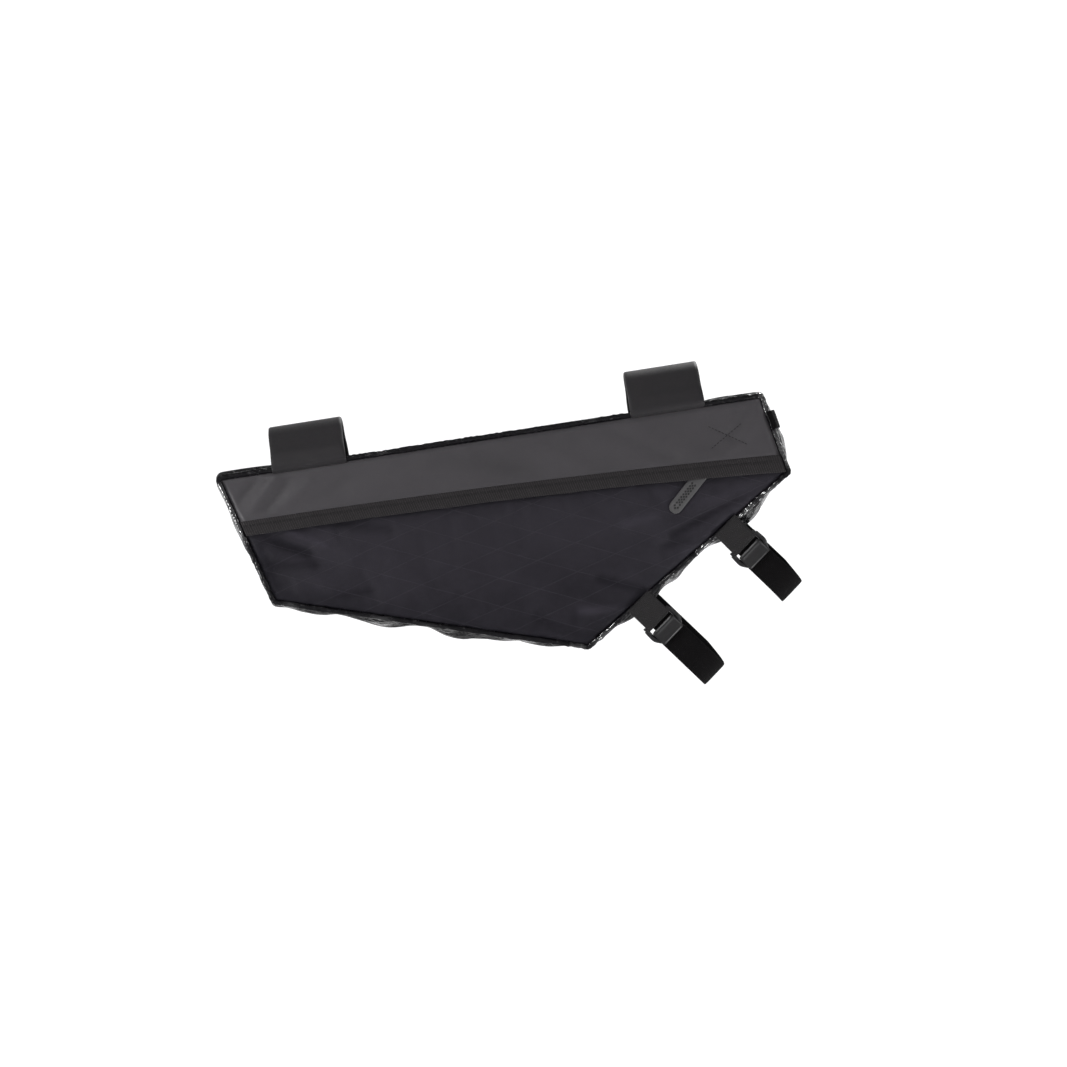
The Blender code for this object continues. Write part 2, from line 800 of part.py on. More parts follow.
def build():
    for item in list(bpy.data.objects):
        bpy.data.objects.remove(item, do_unlink=True)

    collection = bpy.data.collections.new("bicycle_frame_bag")
    bpy.context.scene.collection.children.link(collection)
    cutters = bpy.data.collections.new("cutters")
    bpy.context.scene.collection.children.link(cutters)

    materials = {
        "coated_band": make_material("coated_band", (0.067, 0.062, 0.068), 0.55),
        "ribbed_hem": make_material("ribbed_hem", (0.024, 0.022, 0.025), 0.80),
        "panel_fabric": make_material("panel_fabric", (0.033, 0.031, 0.037), 0.65),
        "gusset_fabric": make_material("gusset_fabric", (0.012, 0.012, 0.013), 0.25),
        "piping": make_material("piping", (0.012, 0.012, 0.013), 0.22),
        "webbing": make_material("webbing", (0.016, 0.015, 0.017), 0.85),
        "buckle_plastic": make_material("buckle_plastic", (0.024, 0.023, 0.026), 0.35),
        "zip_tape": make_material("zip_tape", (0.014, 0.014, 0.015), 0.70),
        "puller_rubber": make_material("puller_rubber", (0.100, 0.100, 0.106), 0.60),
    }

    bag_frame = bpy.data.objects.new("bag_frame", None)
    collection.objects.link(bag_frame)
    bag_frame.rotation_euler.y = -top_tube_slope

    make_near_panel(collection, materials["panel_fabric"], bag_frame)
    make_upper_band(collection, materials["coated_band"], bag_frame)
    make_flap_hem(collection, materials["ribbed_hem"], bag_frame)
    make_zip(collection, materials["zip_tape"], bag_frame)
    make_zip_puller(collection, materials["puller_rubber"], bag_frame)
    make_far_panel(collection, materials["panel_fabric"], bag_frame)
    make_piping("near_piping", -1, collection, materials["piping"], bag_frame)
    make_piping("far_piping", 1, collection, materials["piping"], bag_frame)
    make_gusset(collection, materials["gusset_fabric"], bag_frame)
    make_front_tab(collection, materials["webbing"], bag_frame)
    rear_x = corner_point("rear_top")[0] + top_strap_rear_inset
    front_x = corner_point("front_top")[0] - top_strap_front_inset
    for name, centre_x in (("top_strap_rear", rear_x), ("top_strap_front", front_x)):
        make_top_strap(name, centre_x, collection, materials["coated_band"], bag_frame)
    for place, edge_share, tube_gap in down_tube_straps:
        make_down_tube_strap(place, edge_share, tube_gap, collection, cutters,
                             materials, bag_frame)


build()
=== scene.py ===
# Bicycle frame bag: the looks of each piece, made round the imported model.
# Metres, +Z up. Pieces are drawn in the bag's own frame: +X forward along the top tube, +Y to
# the far side, +Z up from the tube. Their points are then turned by the tube's slope.

from math import acos, atan2, cos, hypot, pi, radians, sin

import bmesh
import bpy
import numpy as np
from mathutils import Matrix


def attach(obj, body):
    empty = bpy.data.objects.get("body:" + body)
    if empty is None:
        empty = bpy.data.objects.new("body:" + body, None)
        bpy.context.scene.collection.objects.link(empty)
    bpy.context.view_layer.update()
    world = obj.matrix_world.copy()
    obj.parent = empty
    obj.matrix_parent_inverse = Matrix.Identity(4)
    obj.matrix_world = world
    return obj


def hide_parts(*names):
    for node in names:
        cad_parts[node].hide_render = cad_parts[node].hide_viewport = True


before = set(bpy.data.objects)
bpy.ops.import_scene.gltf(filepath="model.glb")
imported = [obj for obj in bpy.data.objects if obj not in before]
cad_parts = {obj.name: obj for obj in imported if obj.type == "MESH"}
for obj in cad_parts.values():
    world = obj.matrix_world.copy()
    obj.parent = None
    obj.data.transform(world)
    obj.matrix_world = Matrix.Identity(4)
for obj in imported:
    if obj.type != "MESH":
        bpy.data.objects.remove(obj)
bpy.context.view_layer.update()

# The bag's shape

bag = {
    "slope": 8.87,              # degrees that the top tube climbs
    "length": 0.402,
    "depth": 0.1595,
    "seamDrop": 0.0105,         # from the top tube's axis to the top seam
    "originShare": 0.485,
    "seamWidth": 0.056,
    "cornerRadius": 0.0024,
    "wall": 0.0014,
    "crownRun": 0.020,          # how soon the sides reach their full swell
    "topTubeRadius": 0.0159,
    "downTubeRadius": 0.0210,
    "downTubeAngle": 39.7,
    "tubeClearance": 0.0003,
    "layerGap": 0.0003,         # air between a layer and what it lies on
    "seamTurning": 0.010,       # cloth that each seam takes up
}

# Corners of the sides, as shares of the length and of the depth
bagCorners = [(0.000, 0.000), (0.973, 0.009), (1.000, 0.367), (0.602, 1.000), (0.065, 0.586)]
topEdge, frontEdge, frontLowerEdge, bottomEdge, rearEdge = range(5)


def alongToX(share):
    return (share - bag["originShare"]) * bag["length"]


def alongShare(x):
    return x / bag["length"] + bag["originShare"]


def downToZ(share):
    return -bag["seamDrop"] - share * bag["depth"]


def edgesFrom(starts):
    # The way along each edge, its outward normal and its length
    onward = np.roll(starts, -1, axis=0) - starts
    sizes = np.linalg.norm(onward, axis=1)
    onward = onward / sizes[:, None]
    return onward, np.stack([-onward[:, 1], onward[:, 0]], axis=1), sizes


def outlineCorners(inset=0.0):
    points = np.array([(alongToX(along), downToZ(down)) for along, down in bagCorners])
    onward, outward, _sizes = edgesFrom(points)
    moved = points - outward * inset
    before, beforeWay = np.roll(moved, 1, axis=0), np.roll(onward, 1, axis=0)
    gap = moved - before
    cross = beforeWay[:, 0] * onward[:, 1] - beforeWay[:, 1] * onward[:, 0]
    reach = (gap[:, 0] * onward[:, 1] - gap[:, 1] * onward[:, 0]) / cross
    return before + beforeWay * reach[:, None]


def outlineEdges(inset=0.0):
    starts = outlineCorners(inset)
    return starts, *edgesFrom(starts)


def edgeDepths(x, z):
    starts, _onward, outward, _sizes = outlineEdges()
    return np.array([(start[0] - x) * out[0] + (start[1] - z) * out[1]
                     for start, out in zip(starts, outward)])


def crown(x, z, height):
    depths = np.maximum(edgeDepths(x, z), 0.0)
    return height * np.prod(1 - np.exp(-depths / bag["crownRun"]), axis=0)


def creaseRise(x, z, creases):
    # Ridges and furrows: both ends as shares of length and depth, rise and half width in metres
    rise = np.zeros_like(x)
    for alongA, downA, alongB, downB, height, spread in creases:
        ax, az, bx, bz = alongToX(alongA), downToZ(downA), alongToX(alongB), downToZ(downB)
        share = ((x - ax) * (bx - ax) + (z - az) * (bz - az)) / ((bx - ax) ** 2 + (bz - az) ** 2)
        share = np.clip(share, 0.0, 1.0)
        away = np.hypot(x - ax - share * (bx - ax), z - az - share * (bz - az))
        rise += height * np.exp(-(away / spread) ** 2)
    edge = np.min(edgeDepths(x, z), axis=0)
    return rise * (1 - np.exp(-np.maximum(edge, 0.0) / 0.006))


# Soft folds that the near panel and the flap over it share
nearFolds = [
    (0.985, 0.400, 0.870, 0.500, 0.0014, 0.0072),
    (0.960, 0.480, 0.840, 0.600, -0.0013, 0.0064),
    (0.900, 0.430, 0.780, 0.470, -0.0010, 0.0072),
    (0.790, 0.660, 0.700, 0.600, 0.0010, 0.0080),
    (0.640, 0.930, 0.600, 0.780, 0.0012, 0.0080),
    (0.700, 0.820, 0.600, 0.700, -0.0008, 0.0088),
    (0.100, 0.330, 0.180, 0.470, -0.0012, 0.0064),
    (0.160, 0.300, 0.220, 0.430, 0.0010, 0.0064),
    (0.090, 0.560, 0.200, 0.500, 0.0009, 0.0072),
    (0.470, 0.070, 0.560, 0.190, -0.0006, 0.0080),
]
nearCrown, farCrown = 0.0046, 0.0036


def nearMiddle(x, z):
    return -(bag["seamWidth"] / 2 + crown(x, z, nearCrown) + creaseRise(x, z, nearFolds))


def turnBy(points, angle):
    # In the side plane, from +X towards +Z
    points = np.asarray(points, dtype=float)
    out = points.copy()
    out[..., 0] = cos(angle) * points[..., 0] - sin(angle) * points[..., 2]
    out[..., 2] = sin(angle) * points[..., 0] + cos(angle) * points[..., 2]
    return out


def turned(points):
    return turnBy(points, radians(bag["slope"]))


def eased(share):
    return share * share * (3 - 2 * share)


# Node trees

def mathsNode(operation, reflected=False):
    def write(wire, other=0.0):
        first, second = (other, wire) if reflected else (wire, other)
        return wire.bench.add("ShaderNodeMath", {0: first, 1: second}, operation=operation)
    return write


class Wire:
    # One output of a node; sums on it add Math nodes
    def __init__(self, bench, node, socket=0):
        self.bench, self.node, self.socket = bench, node, node.outputs[socket]

    def at(self, socket):
        return Wire(self.bench, self.node, socket)

    __add__ = __radd__ = mathsNode("ADD")
    __sub__, __rsub__ = mathsNode("SUBTRACT"), mathsNode("SUBTRACT", True)
    __mul__ = __rmul__ = mathsNode("MULTIPLY")
    __truediv__, __mod__ = mathsNode("DIVIDE"), mathsNode("FLOORED_MODULO")
    __pow__, __abs__ = mathsNode("POWER"), mathsNode("ABSOLUTE")
    sine, larger = mathsNode("SINE"), mathsNode("MAXIMUM")


class Bench:
    # A node tree and the one way in which nodes are added to it
    def __init__(self, tree):
        self.tree = tree

    def add(self, kind, values=None, **settings):
        # Settings by name; values and wires by socket
        node = self.tree.nodes.new(kind)
        for key, value in settings.items():
            setattr(node, key, value)
        for key, value in (values or {}).items():
            if isinstance(value, Wire):
                self.tree.links.new(value.socket, node.inputs[key])
            elif value is not None:
                node.inputs[key].default_value = value
        return Wire(self, node) if len(node.outputs) else node


class Finish(Bench):
    # A material: a principled shader with the helpers that the finishes here share
    def __init__(self, name, **constants):
        self.material = bpy.data.materials.new(name)
        self.material.use_nodes = True
        super().__init__(self.material.node_tree)
        self.tree.nodes.clear()
        self.shader = self.add("ShaderNodeBsdfPrincipled").node
        self.tree.links.new(self.shader.outputs[0],
                            self.add("ShaderNodeOutputMaterial").inputs["Surface"])
        for key, value in constants.items():
            self.shader.inputs[key.replace("_", " ")].default_value = value

    def feed(self, socket, value):
        if isinstance(value, Wire):
            self.tree.links.new(value.socket, self.shader.inputs[socket])
        else:
            self.shader.inputs[socket].default_value = value

    def read(self, name):
        # A value that the mesh carries under this name
        return self.add("ShaderNodeAttribute", attribute_name=name).at("Fac")

    def place(self):
        # Object coordinates, in metres, turned into the bag's own frame
        where = self.add("ShaderNodeTexCoord").at("Object")
        return self.add("ShaderNodeMapping", {"Vector": where,
                        "Rotation": (0.0, radians(bag["slope"]), 0.0)})

    def surface(self):
        # The piece's own flat cloth, in metres: along and across
        where = self.add("ShaderNodeUVMap", uv_map="cloth")
        split = self.add("ShaderNodeSeparateXYZ", {0: where})
        return where, split.at(0), split.at(1)

    def creaseLightAndShade(self, colour, darker, lighter):
        # Painted shade in the hollows and painted light on the ridges, from the rise that the mesh
        # carries
        rise = self.read("creaseShading")
        hollow = self.smooth(rise, -1.0, 0.0, 1.0, 0.0)
        ridge = self.smooth(rise, 0.0, 1.0)
        return self.blend(ridge * 0.75, self.blend(hollow * 0.85, colour, darker), lighter)

    def noise(self, where, scale, detail=3.0, roughness=0.5, distortion=0.0):
        return self.add("ShaderNodeTexNoise", {"Vector": where, "Scale": scale,
                        "Detail": detail, "Roughness": roughness, "Distortion": distortion})

    def cells(self, where, scale):
        return self.add("ShaderNodeTexVoronoi", {"Vector": where, "Scale": scale}, feature="F1")

    def smooth(self, value, low, high, toLow=0.0, toHigh=1.0):
        return self.add("ShaderNodeMapRange", {
            "Value": value, "From Min": low, "From Max": high, "To Min": toLow,
            "To Max": toHigh}, interpolation_type="SMOOTHSTEP")

    def blend(self, share, first, second):
        def colour(value):
            return value if isinstance(value, Wire) else (*value, 1.0)
        return self.add("ShaderNodeMix", {0: share, 6: colour(first), 7: colour(second)},
                        data_type="RGBA").at(2)

    def bump(self, height, distance, strength=1.0, under=None):
        return self.add("ShaderNodeBump", {"Strength": strength, "Distance": distance,
                        "Height": height, "Normal": under})


# Finishes

finishValues = {
    "bandColour": (0.0214, 0.0196, 0.0220),
    "bandWorn": (0.056, 0.052, 0.056),
    "panelColour": (0.0110, 0.0100, 0.0130),
    "panelYarn": (0.036, 0.034, 0.040),
    "panelShade": (0.0034, 0.0031, 0.0046),
    "yarnSpacing": 0.0190,
    "yarnAngles": (16.1, -23.9),    # degrees in the bag's own frame
    "hemColour": (0.0098, 0.0088, 0.0094),
    "hemRib": 0.00165,
    "hemTick": 0.00240,         # pitch of the dark needle holes
    "gussetColour": (0.0034, 0.0032, 0.0038),
    "webbingColour": (0.0064, 0.0059, 0.0063),
    "webbingDark": (0.0022, 0.0020, 0.0022),
    "plasticColour": (0.0036, 0.0034, 0.0039),
    "rubberColour": (0.0285, 0.0276, 0.0287),
    # Painted shade in the puller's recesses
    "recessShade": (0.0022, 0.0022, 0.0024),
    "holeColour": (0.0030, 0.0028, 0.0030),
    "zipColour": (0.0080, 0.0076, 0.0082),
    "hemThread": (0.0090, 0.0084, 0.0090),
    "crossThread": (0.0070, 0.0064, 0.0070),
    "panelWeave": 0.00064,
    "hemWeave": 0.00052,
    "webbingRow": 0.00150,
    "webbingThread": 0.00110,
}


def toned(colour, share):
    return tuple(share * part for part in colour)


def ridges(distance, pitch):
    return (distance * (2 * pi / pitch)).sine()


def coatedFinish(name, shade, shine):
    finish = Finish(name, Sheen_Weight=0.03, Sheen_Roughness=0.5, Specular_IOR_Level=shine)
    where = finish.place()
    cloud = finish.noise(where, 26.0, 4.0)
    mottle = finish.noise(where, 420.0, 3.0, 0.6)
    leather = finish.cells(where, 1500.0)
    scuff = finish.smooth(finish.noise(where, 90.0, 5.0, 0.7, 1.5), 0.62, 0.78)
    tone = finish.smooth(cloud * 0.65 + mottle * 0.35, 0.35, 0.65)
    own = finishValues["bandColour"]
    colour = finish.blend(tone, toned(own, shade), toned(own, 1.12 * shade))
    colour = finish.blend(scuff * 0.18 * shade, colour, finishValues["bandWorn"])
    # Painted shade in the crease hollows and painted light on the crease ridges
    finish.feed("Base Color", finish.creaseLightAndShade(colour, toned(own, 0.70 * shade),
                                             toned(own, 1.32 * shade)))
    finish.feed("Roughness", finish.smooth(mottle, 0.3, 0.7, 0.46, 0.60) + scuff * 0.08)
    ripple = finish.noise(where, 60.0, 2.0, 0.4)
    soft = finish.bump(ripple, 0.0011, 0.30)
    finish.feed("Normal", finish.bump(leather * 0.6 + mottle * 0.4, 0.00010, 0.55, soft))
    return finish.material


def panelFinish():
    finish = Finish("panelFabric", Specular_IOR_Level=0.05)
    where, along, up = finish.surface()
    wander = finish.noise(where, 45.0, 2.0) * 0.0009
    yarns = None
    for angle in finishValues["yarnAngles"]:
        across = up * cos(radians(angle)) - along * sin(radians(angle)) + wander
        phase = across / finishValues["yarnSpacing"] % 1.0
        line = finish.smooth(abs(phase - 0.5), 0.0, 0.030, 1.0, 0.0)
        yarns = line if yarns is None else yarns.larger(line)
    yarns = yarns * finish.smooth(finish.noise(where, 160.0, 3.0), 0.30, 0.55, 0.45, 1.0)
    weave = (ridges(along, finishValues["panelWeave"])
             * ridges(up, finishValues["panelWeave"]))
    cloud = finish.noise(where, 30.0, 4.0, 0.6)
    # Painted shade: darker towards the bottom, along the rear and bottom seams, and under the hem
    low = finish.smooth(up, -0.160, -0.075, 0.92, 0.0)
    low = low.larger(finish.read("seamShade"))
    own, shade, yarn = (finishValues[key] for key in ("panelColour", "panelShade", "panelYarn"))
    base = finish.blend(low, own, shade)
    base = finish.blend(finish.smooth(cloud, 0.35, 0.70) * 0.35, base, toned(own, 1.35))
    base = finish.blend(weave * 0.06 + 0.06, base, yarn)
    # Painted shade in the crease hollows and painted light on the crease ridges
    base = finish.creaseLightAndShade(base, shade, toned(own, 2.0))
    finish.feed("Base Color", finish.blend(yarns * 0.17, base, yarn))
    finish.feed("Roughness", finish.smooth(cloud, 0.3, 0.7, 0.50, 0.64))
    raised = finish.bump(yarns, 0.00016, 0.7, finish.bump(cloud, 0.0014, 0.28))
    finish.feed("Normal", finish.bump(weave, 0.00005, 0.5, raised))
    return finish.material


def ribbedFinish():
    finish = Finish("ribbedHem", Sheen_Weight=0.03, Sheen_Roughness=0.5, Specular_IOR_Level=0.10)
    where, along, across = finish.surface()
    sway = finish.noise(where, 260.0, 2.0) * 0.00022
    rib = ridges(along + sway, finishValues["hemRib"])
    thread = ridges(across, finishValues["hemWeave"])
    wear = finish.noise(where, 90.0, 3.0, 0.6)
    own = finishValues["hemColour"]
    colour = finish.blend(rib * 0.36 + wear * 0.5 + 0.22, toned(own, 0.62), toned(own, 1.60))
    # Two rows of needle holes above the middle
    hole = finish.smooth(abs((along / finishValues["hemTick"]) % 1.0 - 0.5), 0.18, 0.26, 1.0, 0.0)
    for row in (-0.0023, -0.0012):
        line = finish.smooth(abs(across - row), 0.00022, 0.00042, 1.0, 0.0)
        colour = finish.blend(hole * line * 0.55, colour, finishValues["holeColour"])
    finish.feed("Base Color", colour)
    finish.feed("Roughness", finish.smooth(rib, -1.0, 1.0, 0.84, 0.70))
    finish.feed("Normal", finish.bump(rib + thread * 0.18, 0.00012, 0.6))
    return finish.material


def gussetFinish(name, shiny, dull, crumple, film):
    # Black film over cloth: it crumples in small facets, and is glossiest where it's drawn out
    finish = Finish(name, IOR=1.15, Coat_Roughness=0.07, Coat_IOR=1.5)
    where = finish.place()
    shine = finish.read("shine")
    bent = finish.noise(where, 70.0, 2.0).at("Color")
    bent = finish.add("ShaderNodeVectorMath", {0: bent, 1: (0.016, 0.016, 0.016), 2: where},
                      operation="MULTIPLY_ADD")
    facets = finish.cells(bent, 120.0) + finish.cells(bent, 330.0) * 0.35
    pebble = finish.noise(where, 900.0, 2.0, 0.6)
    threads = finish.cells(where, 1900.0)
    cloud = finish.noise(where, 55.0, 3.0)
    own = finishValues["gussetColour"]
    finish.feed("Base Color", finish.blend(finish.smooth(cloud, 0.35, 0.65) * 0.5, own,
                                           toned(own, 1.6)))
    drawn = finish.smooth(cloud * 0.6 + shine * 0.6, 0.40, 0.75)
    finish.feed("Roughness", finish.smooth(drawn, 0.0, 1.0, dull, shiny) + pebble * 0.04)
    finish.feed("Coat Weight", finish.smooth(shine, 0.35, 0.85) * drawn * film)
    folded = finish.bump(facets, crumple)
    finish.feed("Normal", finish.bump(threads * 0.5 + pebble * 0.5, 0.00005, 0.4, folded))
    return finish.material


def webbingFinish(name, colour, roughness, shine):
    finish = Finish(name, Sheen_Weight=0.01, Sheen_Roughness=0.6, Specular_IOR_Level=shine)
    where, along, across = finish.surface()
    threadPitch = finishValues["webbingThread"]
    # Herringbone rows: the slant changes side from one row of threads to the next
    row = (across / threadPitch) % 2.0
    slant = abs(row - 1.0) * threadPitch
    picks = ridges(along + slant, finishValues["webbingRow"])
    rows = ridges(across, threadPitch)
    fuzz = finish.noise(where, 1400.0, 3.0, 0.7)
    tone = picks * 0.22 + rows * 0.14 + fuzz * 0.5 + 0.20
    finish.feed("Base Color", finish.blend(tone, toned(colour, 0.55), toned(colour, 1.6)))
    finish.feed("Roughness", finish.smooth(fuzz, 0.3, 0.7, roughness - 0.05, roughness + 0.05))
    finish.feed("Normal", finish.bump(picks * 0.6 + rows * 0.4 + fuzz * 0.5, 0.00022, 0.8))
    return finish.material


def plasticFinish():
    finish = Finish("bucklePlastic", Specular_IOR_Level=0.17, Coat_Roughness=0.25)
    where = finish.place()
    grain = finish.noise(where, 2600.0, 2.0, 0.6)
    rub = finish.smooth(finish.noise(where, 300.0, 4.0, 0.7), 0.50, 0.75)
    own = finishValues["plasticColour"]
    finish.feed("Base Color", finish.blend(rub * 0.35, own, toned(own, 1.9)))
    finish.feed("Roughness", finish.smooth(grain, 0.3, 0.7, 0.30, 0.42) + rub * 0.08)
    finish.feed("Coat Weight", finish.smooth(rub, 0.0, 1.0, 0.07, 0.02))
    finish.feed("Normal", finish.bump(grain, 0.00004, 0.6))
    return finish.material


def rubberFinish():
    finish = Finish("pullerRubber", Sheen_Weight=0.04, Specular_IOR_Level=0.22)
    where = finish.place()
    dust = finish.noise(where, 700.0, 4.0, 0.6)
    own = finishValues["rubberColour"]
    colour = finish.blend(finish.smooth(dust, 0.35, 0.7) * 0.4, own, toned(own, 1.35))
    # The recesses' faces are painted dark: painted shade
    finish.feed("Base Color", finish.blend(finish.read("sunkShade"), colour,
                                           finishValues["recessShade"]))
    finish.feed("Roughness", finish.smooth(dust, 0.3, 0.7, 0.52, 0.68))
    finish.feed("Normal", finish.bump(dust, 0.00006, 0.5))
    return finish.material


def threadFinish(name, colour):
    finish = Finish(name, Specular_IOR_Level=0.06)
    where = finish.place()
    ply = finish.noise(where, 3200.0, 2.0, 0.6)
    finish.feed("Base Color", finish.blend(ply, toned(colour, 0.7), toned(colour, 1.3)))
    finish.feed("Roughness", finish.smooth(ply, 0.3, 0.7, 0.55, 0.75))
    finish.feed("Normal", finish.bump(ply, 0.00006, 0.7))
    return finish.material


coatedBand = coatedFinish("coatedBand", 1.0, 0.20)
# The straps take the band's finish at a darker share: a painted-shade copy of it
coatedStrap = coatedFinish("coatedStrap", 0.44, 0.13)
panelFabric = panelFinish()
ribbedHem = ribbedFinish()
gussetFabric = gussetFinish("gussetFabric", 0.12, 0.55, 0.0034, 0.22)
pipingFabric = gussetFinish("pipingFabric", 0.10, 0.30, 0.0010, 0.95)
webbingTail = webbingFinish("webbingTail", finishValues["webbingColour"], 0.78, 0.14)
webbingBelow = webbingFinish("webbingBelow", finishValues["webbingDark"], 0.88, 0.02)
bucklePlastic = plasticFinish()
pullerRubber = rubberFinish()
darkThread = threadFinish("darkThread", finishValues["hemThread"])
crossThread = threadFinish("crossThread", finishValues["crossThread"])
zipTape = webbingFinish("zipTape", finishValues["zipColour"], 0.72, 0.12)
print("finishes made")


# Mesh helpers

def gridFaces(rows, columns, closeRows=False, closeColumns=False):
    row = np.arange(rows if closeRows else rows - 1)
    column = np.arange(columns if closeColumns else columns - 1)
    row, column = np.meshgrid(row, column, indexing="ij")
    nextRow, nextColumn = (row + 1) % rows, (column + 1) % columns
    faces = [row * columns + column, row * columns + nextColumn,
             nextRow * columns + nextColumn, nextRow * columns + column]
    return np.stack(faces, axis=-1).reshape(-1, 4)


def tubeFaces(rows, columns):
    # A tube with both ends closed
    start, end = range(columns), range((rows - 1) * columns, rows * columns)
    return gridFaces(rows, columns, False, True).tolist() + [list(start), list(end)[::-1]]


def newPiece(name, points, edges, faces):
    mesh = bpy.data.meshes.new(name)
    mesh.from_pydata(np.asarray(points).tolist(), edges, [list(map(int, face)) for face in faces])
    piece = bpy.data.objects.new(name, mesh)
    bpy.context.scene.collection.objects.link(piece)
    return piece


def makePiece(name, points, faces, material, uv=None):
    # Points in the bag's own frame become a mesh in the model's frame
    piece = newPiece(name, turned(points), [], faces)
    mesh = piece.data
    if uv is not None:
        layer = mesh.uv_layers.new(name="cloth")
        corners = np.empty(len(mesh.loops), dtype=np.int32)
        mesh.loops.foreach_get("vertex_index", corners)
        layer.uv.foreach_set("vector", np.asarray(uv, dtype=np.float32)[corners].ravel())
    mesh.shade_smooth()
    mesh.materials.append(material)
    return piece


def readPoints(mesh):
    points = np.empty(len(mesh.vertices) * 3)
    mesh.vertices.foreach_get("co", points)
    return points.reshape(-1, 3)


def writePoints(mesh, points):
    mesh.vertices.foreach_set("co", points.ravel())
    mesh.update()


def faceOutward(piece):
    # For closed solids
    builder = bmesh.new()
    builder.from_mesh(piece.data)
    bmesh.ops.recalc_face_normals(builder, faces=builder.faces)
    builder.to_mesh(piece.data)
    builder.free()


def mark(piece, name, values, domain="POINT"):
    # A value at each point, kept under a name for the finish to read
    layer = piece.data.attributes.new(name, "FLOAT", domain)
    layer.data.foreach_set("value", np.clip(np.ravel(values), -1.0, 1.0).astype(np.float32))


def finishCloth(piece, thickness):
    smooth = piece.modifiers.new("smooth", "SUBSURF")
    smooth.levels = smooth.render_levels = 1
    smooth.boundary_smooth = "PRESERVE_CORNERS"
    wall = piece.modifiers.new("wall", "SOLIDIFY")
    wall.thickness = thickness
    wall.offset = -1.0
    wall.use_even_offset = False


def dress(piece, slot, *nodes):
    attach(piece, "root")
    if nodes:
        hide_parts(*nodes)


edgeBead = 0.00012      # how high a woven edge stands


def closedSection(across, top, under):
    # The upper and lower heights of a section that meet at its edges
    upper, lower = np.stack([across, top], axis=1), np.stack([across, under], axis=1)
    return np.concatenate([upper, lower[-2:0:-1]])


def flatSection(thickness, bead=0.0, count=9):
    # A strap's cross-section: across runs from -1 to 1, height in metres; round edges with a bead
    across = np.cos(np.linspace(pi, 0.0, count))
    round_ = np.sqrt(np.maximum(1 - np.abs(across) ** 7, 0.0))
    edge = bead * np.exp(-((np.abs(across) - 0.93) / 0.05) ** 2)
    return closedSection(across, (thickness / 2) * round_ + edge, -(thickness / 2) * round_)


def roundSection(radius, count=12):
    turn = np.linspace(0.0, 2 * pi, count, endpoint=False)
    return np.stack([np.cos(turn) * radius, np.sin(turn) * radius], axis=1)


def evenly(path, step):
    # The same line with points at an even step
    path = np.asarray(path, dtype=float)
    run = np.concatenate([[0.0], np.cumsum(np.linalg.norm(np.diff(path, axis=0), axis=1))])
    count = max(2, int(round(run[-1] / step)) + 1)
    places = np.linspace(0.0, run[-1], count)
    return np.stack([np.interp(places, run, path[:, axis]) for axis in range(path.shape[1])],
                    axis=1), places


def unit(vectors):
    return vectors / np.maximum(np.linalg.norm(vectors, axis=-1, keepdims=True), 1e-12)


def tangents(path):
    return unit(np.gradient(path, axis=0))


def sweep(name, path, sideways, outward, section, halfWidth, material, fullness=1.0):
    # A section swept along a line: across along sideways, height along outward
    sideways, outward = (np.broadcast_to(part, path.shape) for part in (sideways, outward))
    halfWidth = np.broadcast_to(halfWidth, len(path))
    across = section[:, 0][None, :] * halfWidth[:, None]
    height = section[:, 1][None, :] * np.broadcast_to(fullness, len(path))[:, None]
    points = (path[:, None, :] + sideways[:, None, :] * across[..., None]
              + outward[:, None, :] * height[..., None])
    gaps = np.linalg.norm(np.diff(path, axis=0), axis=1)
    run = np.concatenate([[0.0], np.cumsum(gaps)])
    uv = np.stack([np.broadcast_to(run[:, None], across.shape), across], axis=-1)
    piece = makePiece(name, points.reshape(-1, 3), tubeFaces(*across.shape), material,
                      uv.reshape(-1, 2))
    faceOutward(piece)
    return piece


clothValues = {
    "quality": 6,
    "mass": 0.15,
    "tension_stiffness": 12.0,
    "compression_stiffness": 12.0,
    "shear_stiffness": 6.0,
    "bending_stiffness": 0.25,
    "vertex_group_mass": "seam",
    "use_pressure": True,
}


def settleCloth(piece, pinned, growth, pressure, frames, cap, ease=None):
    # The cloth is cut a little larger than its seams and finds its own creases between them
    scene = bpy.context.scene
    start = readPoints(piece.data)
    seam = piece.vertex_groups.new(name=clothValues["vertex_group_mass"])
    seam.add([int(index) for index in pinned], 1.0, "REPLACE")
    cloth = piece.modifiers.new("cloth", "CLOTH")
    settings = cloth.settings
    for key, value in clothValues.items():
        setattr(settings, key, value)
    settings.shrink_min = -growth
    settings.uniform_pressure_force = pressure
    settings.effector_weights.gravity = 0.0
    cloth.collision_settings.use_collision = False
    cloth.point_cache.frame_start, cloth.point_cache.frame_end = 1, frames
    for number in range(1, frames + 1):
        scene.frame_set(number)
    evaluated = piece.evaluated_get(bpy.context.evaluated_depsgraph_get())
    move = readPoints(evaluated.to_mesh()) - start
    evaluated.to_mesh_clear()
    piece.modifiers.remove(cloth)
    piece.vertex_groups.remove(seam)
    scene.frame_set(1)
    size = np.linalg.norm(move, axis=1, keepdims=True)
    kept = cap * np.tanh(size / cap) / np.maximum(size, 1e-9)
    if ease is not None:
        kept = kept * ease[:, None]
    print("  ", piece.name, "settled, most", round(float(size.max()) * 1000, 1), "mm, mean",
          round(float(size.mean()) * 1000, 2), "mm")
    writePoints(piece.data, start + move * kept)


# Lines that bound the near side's layers

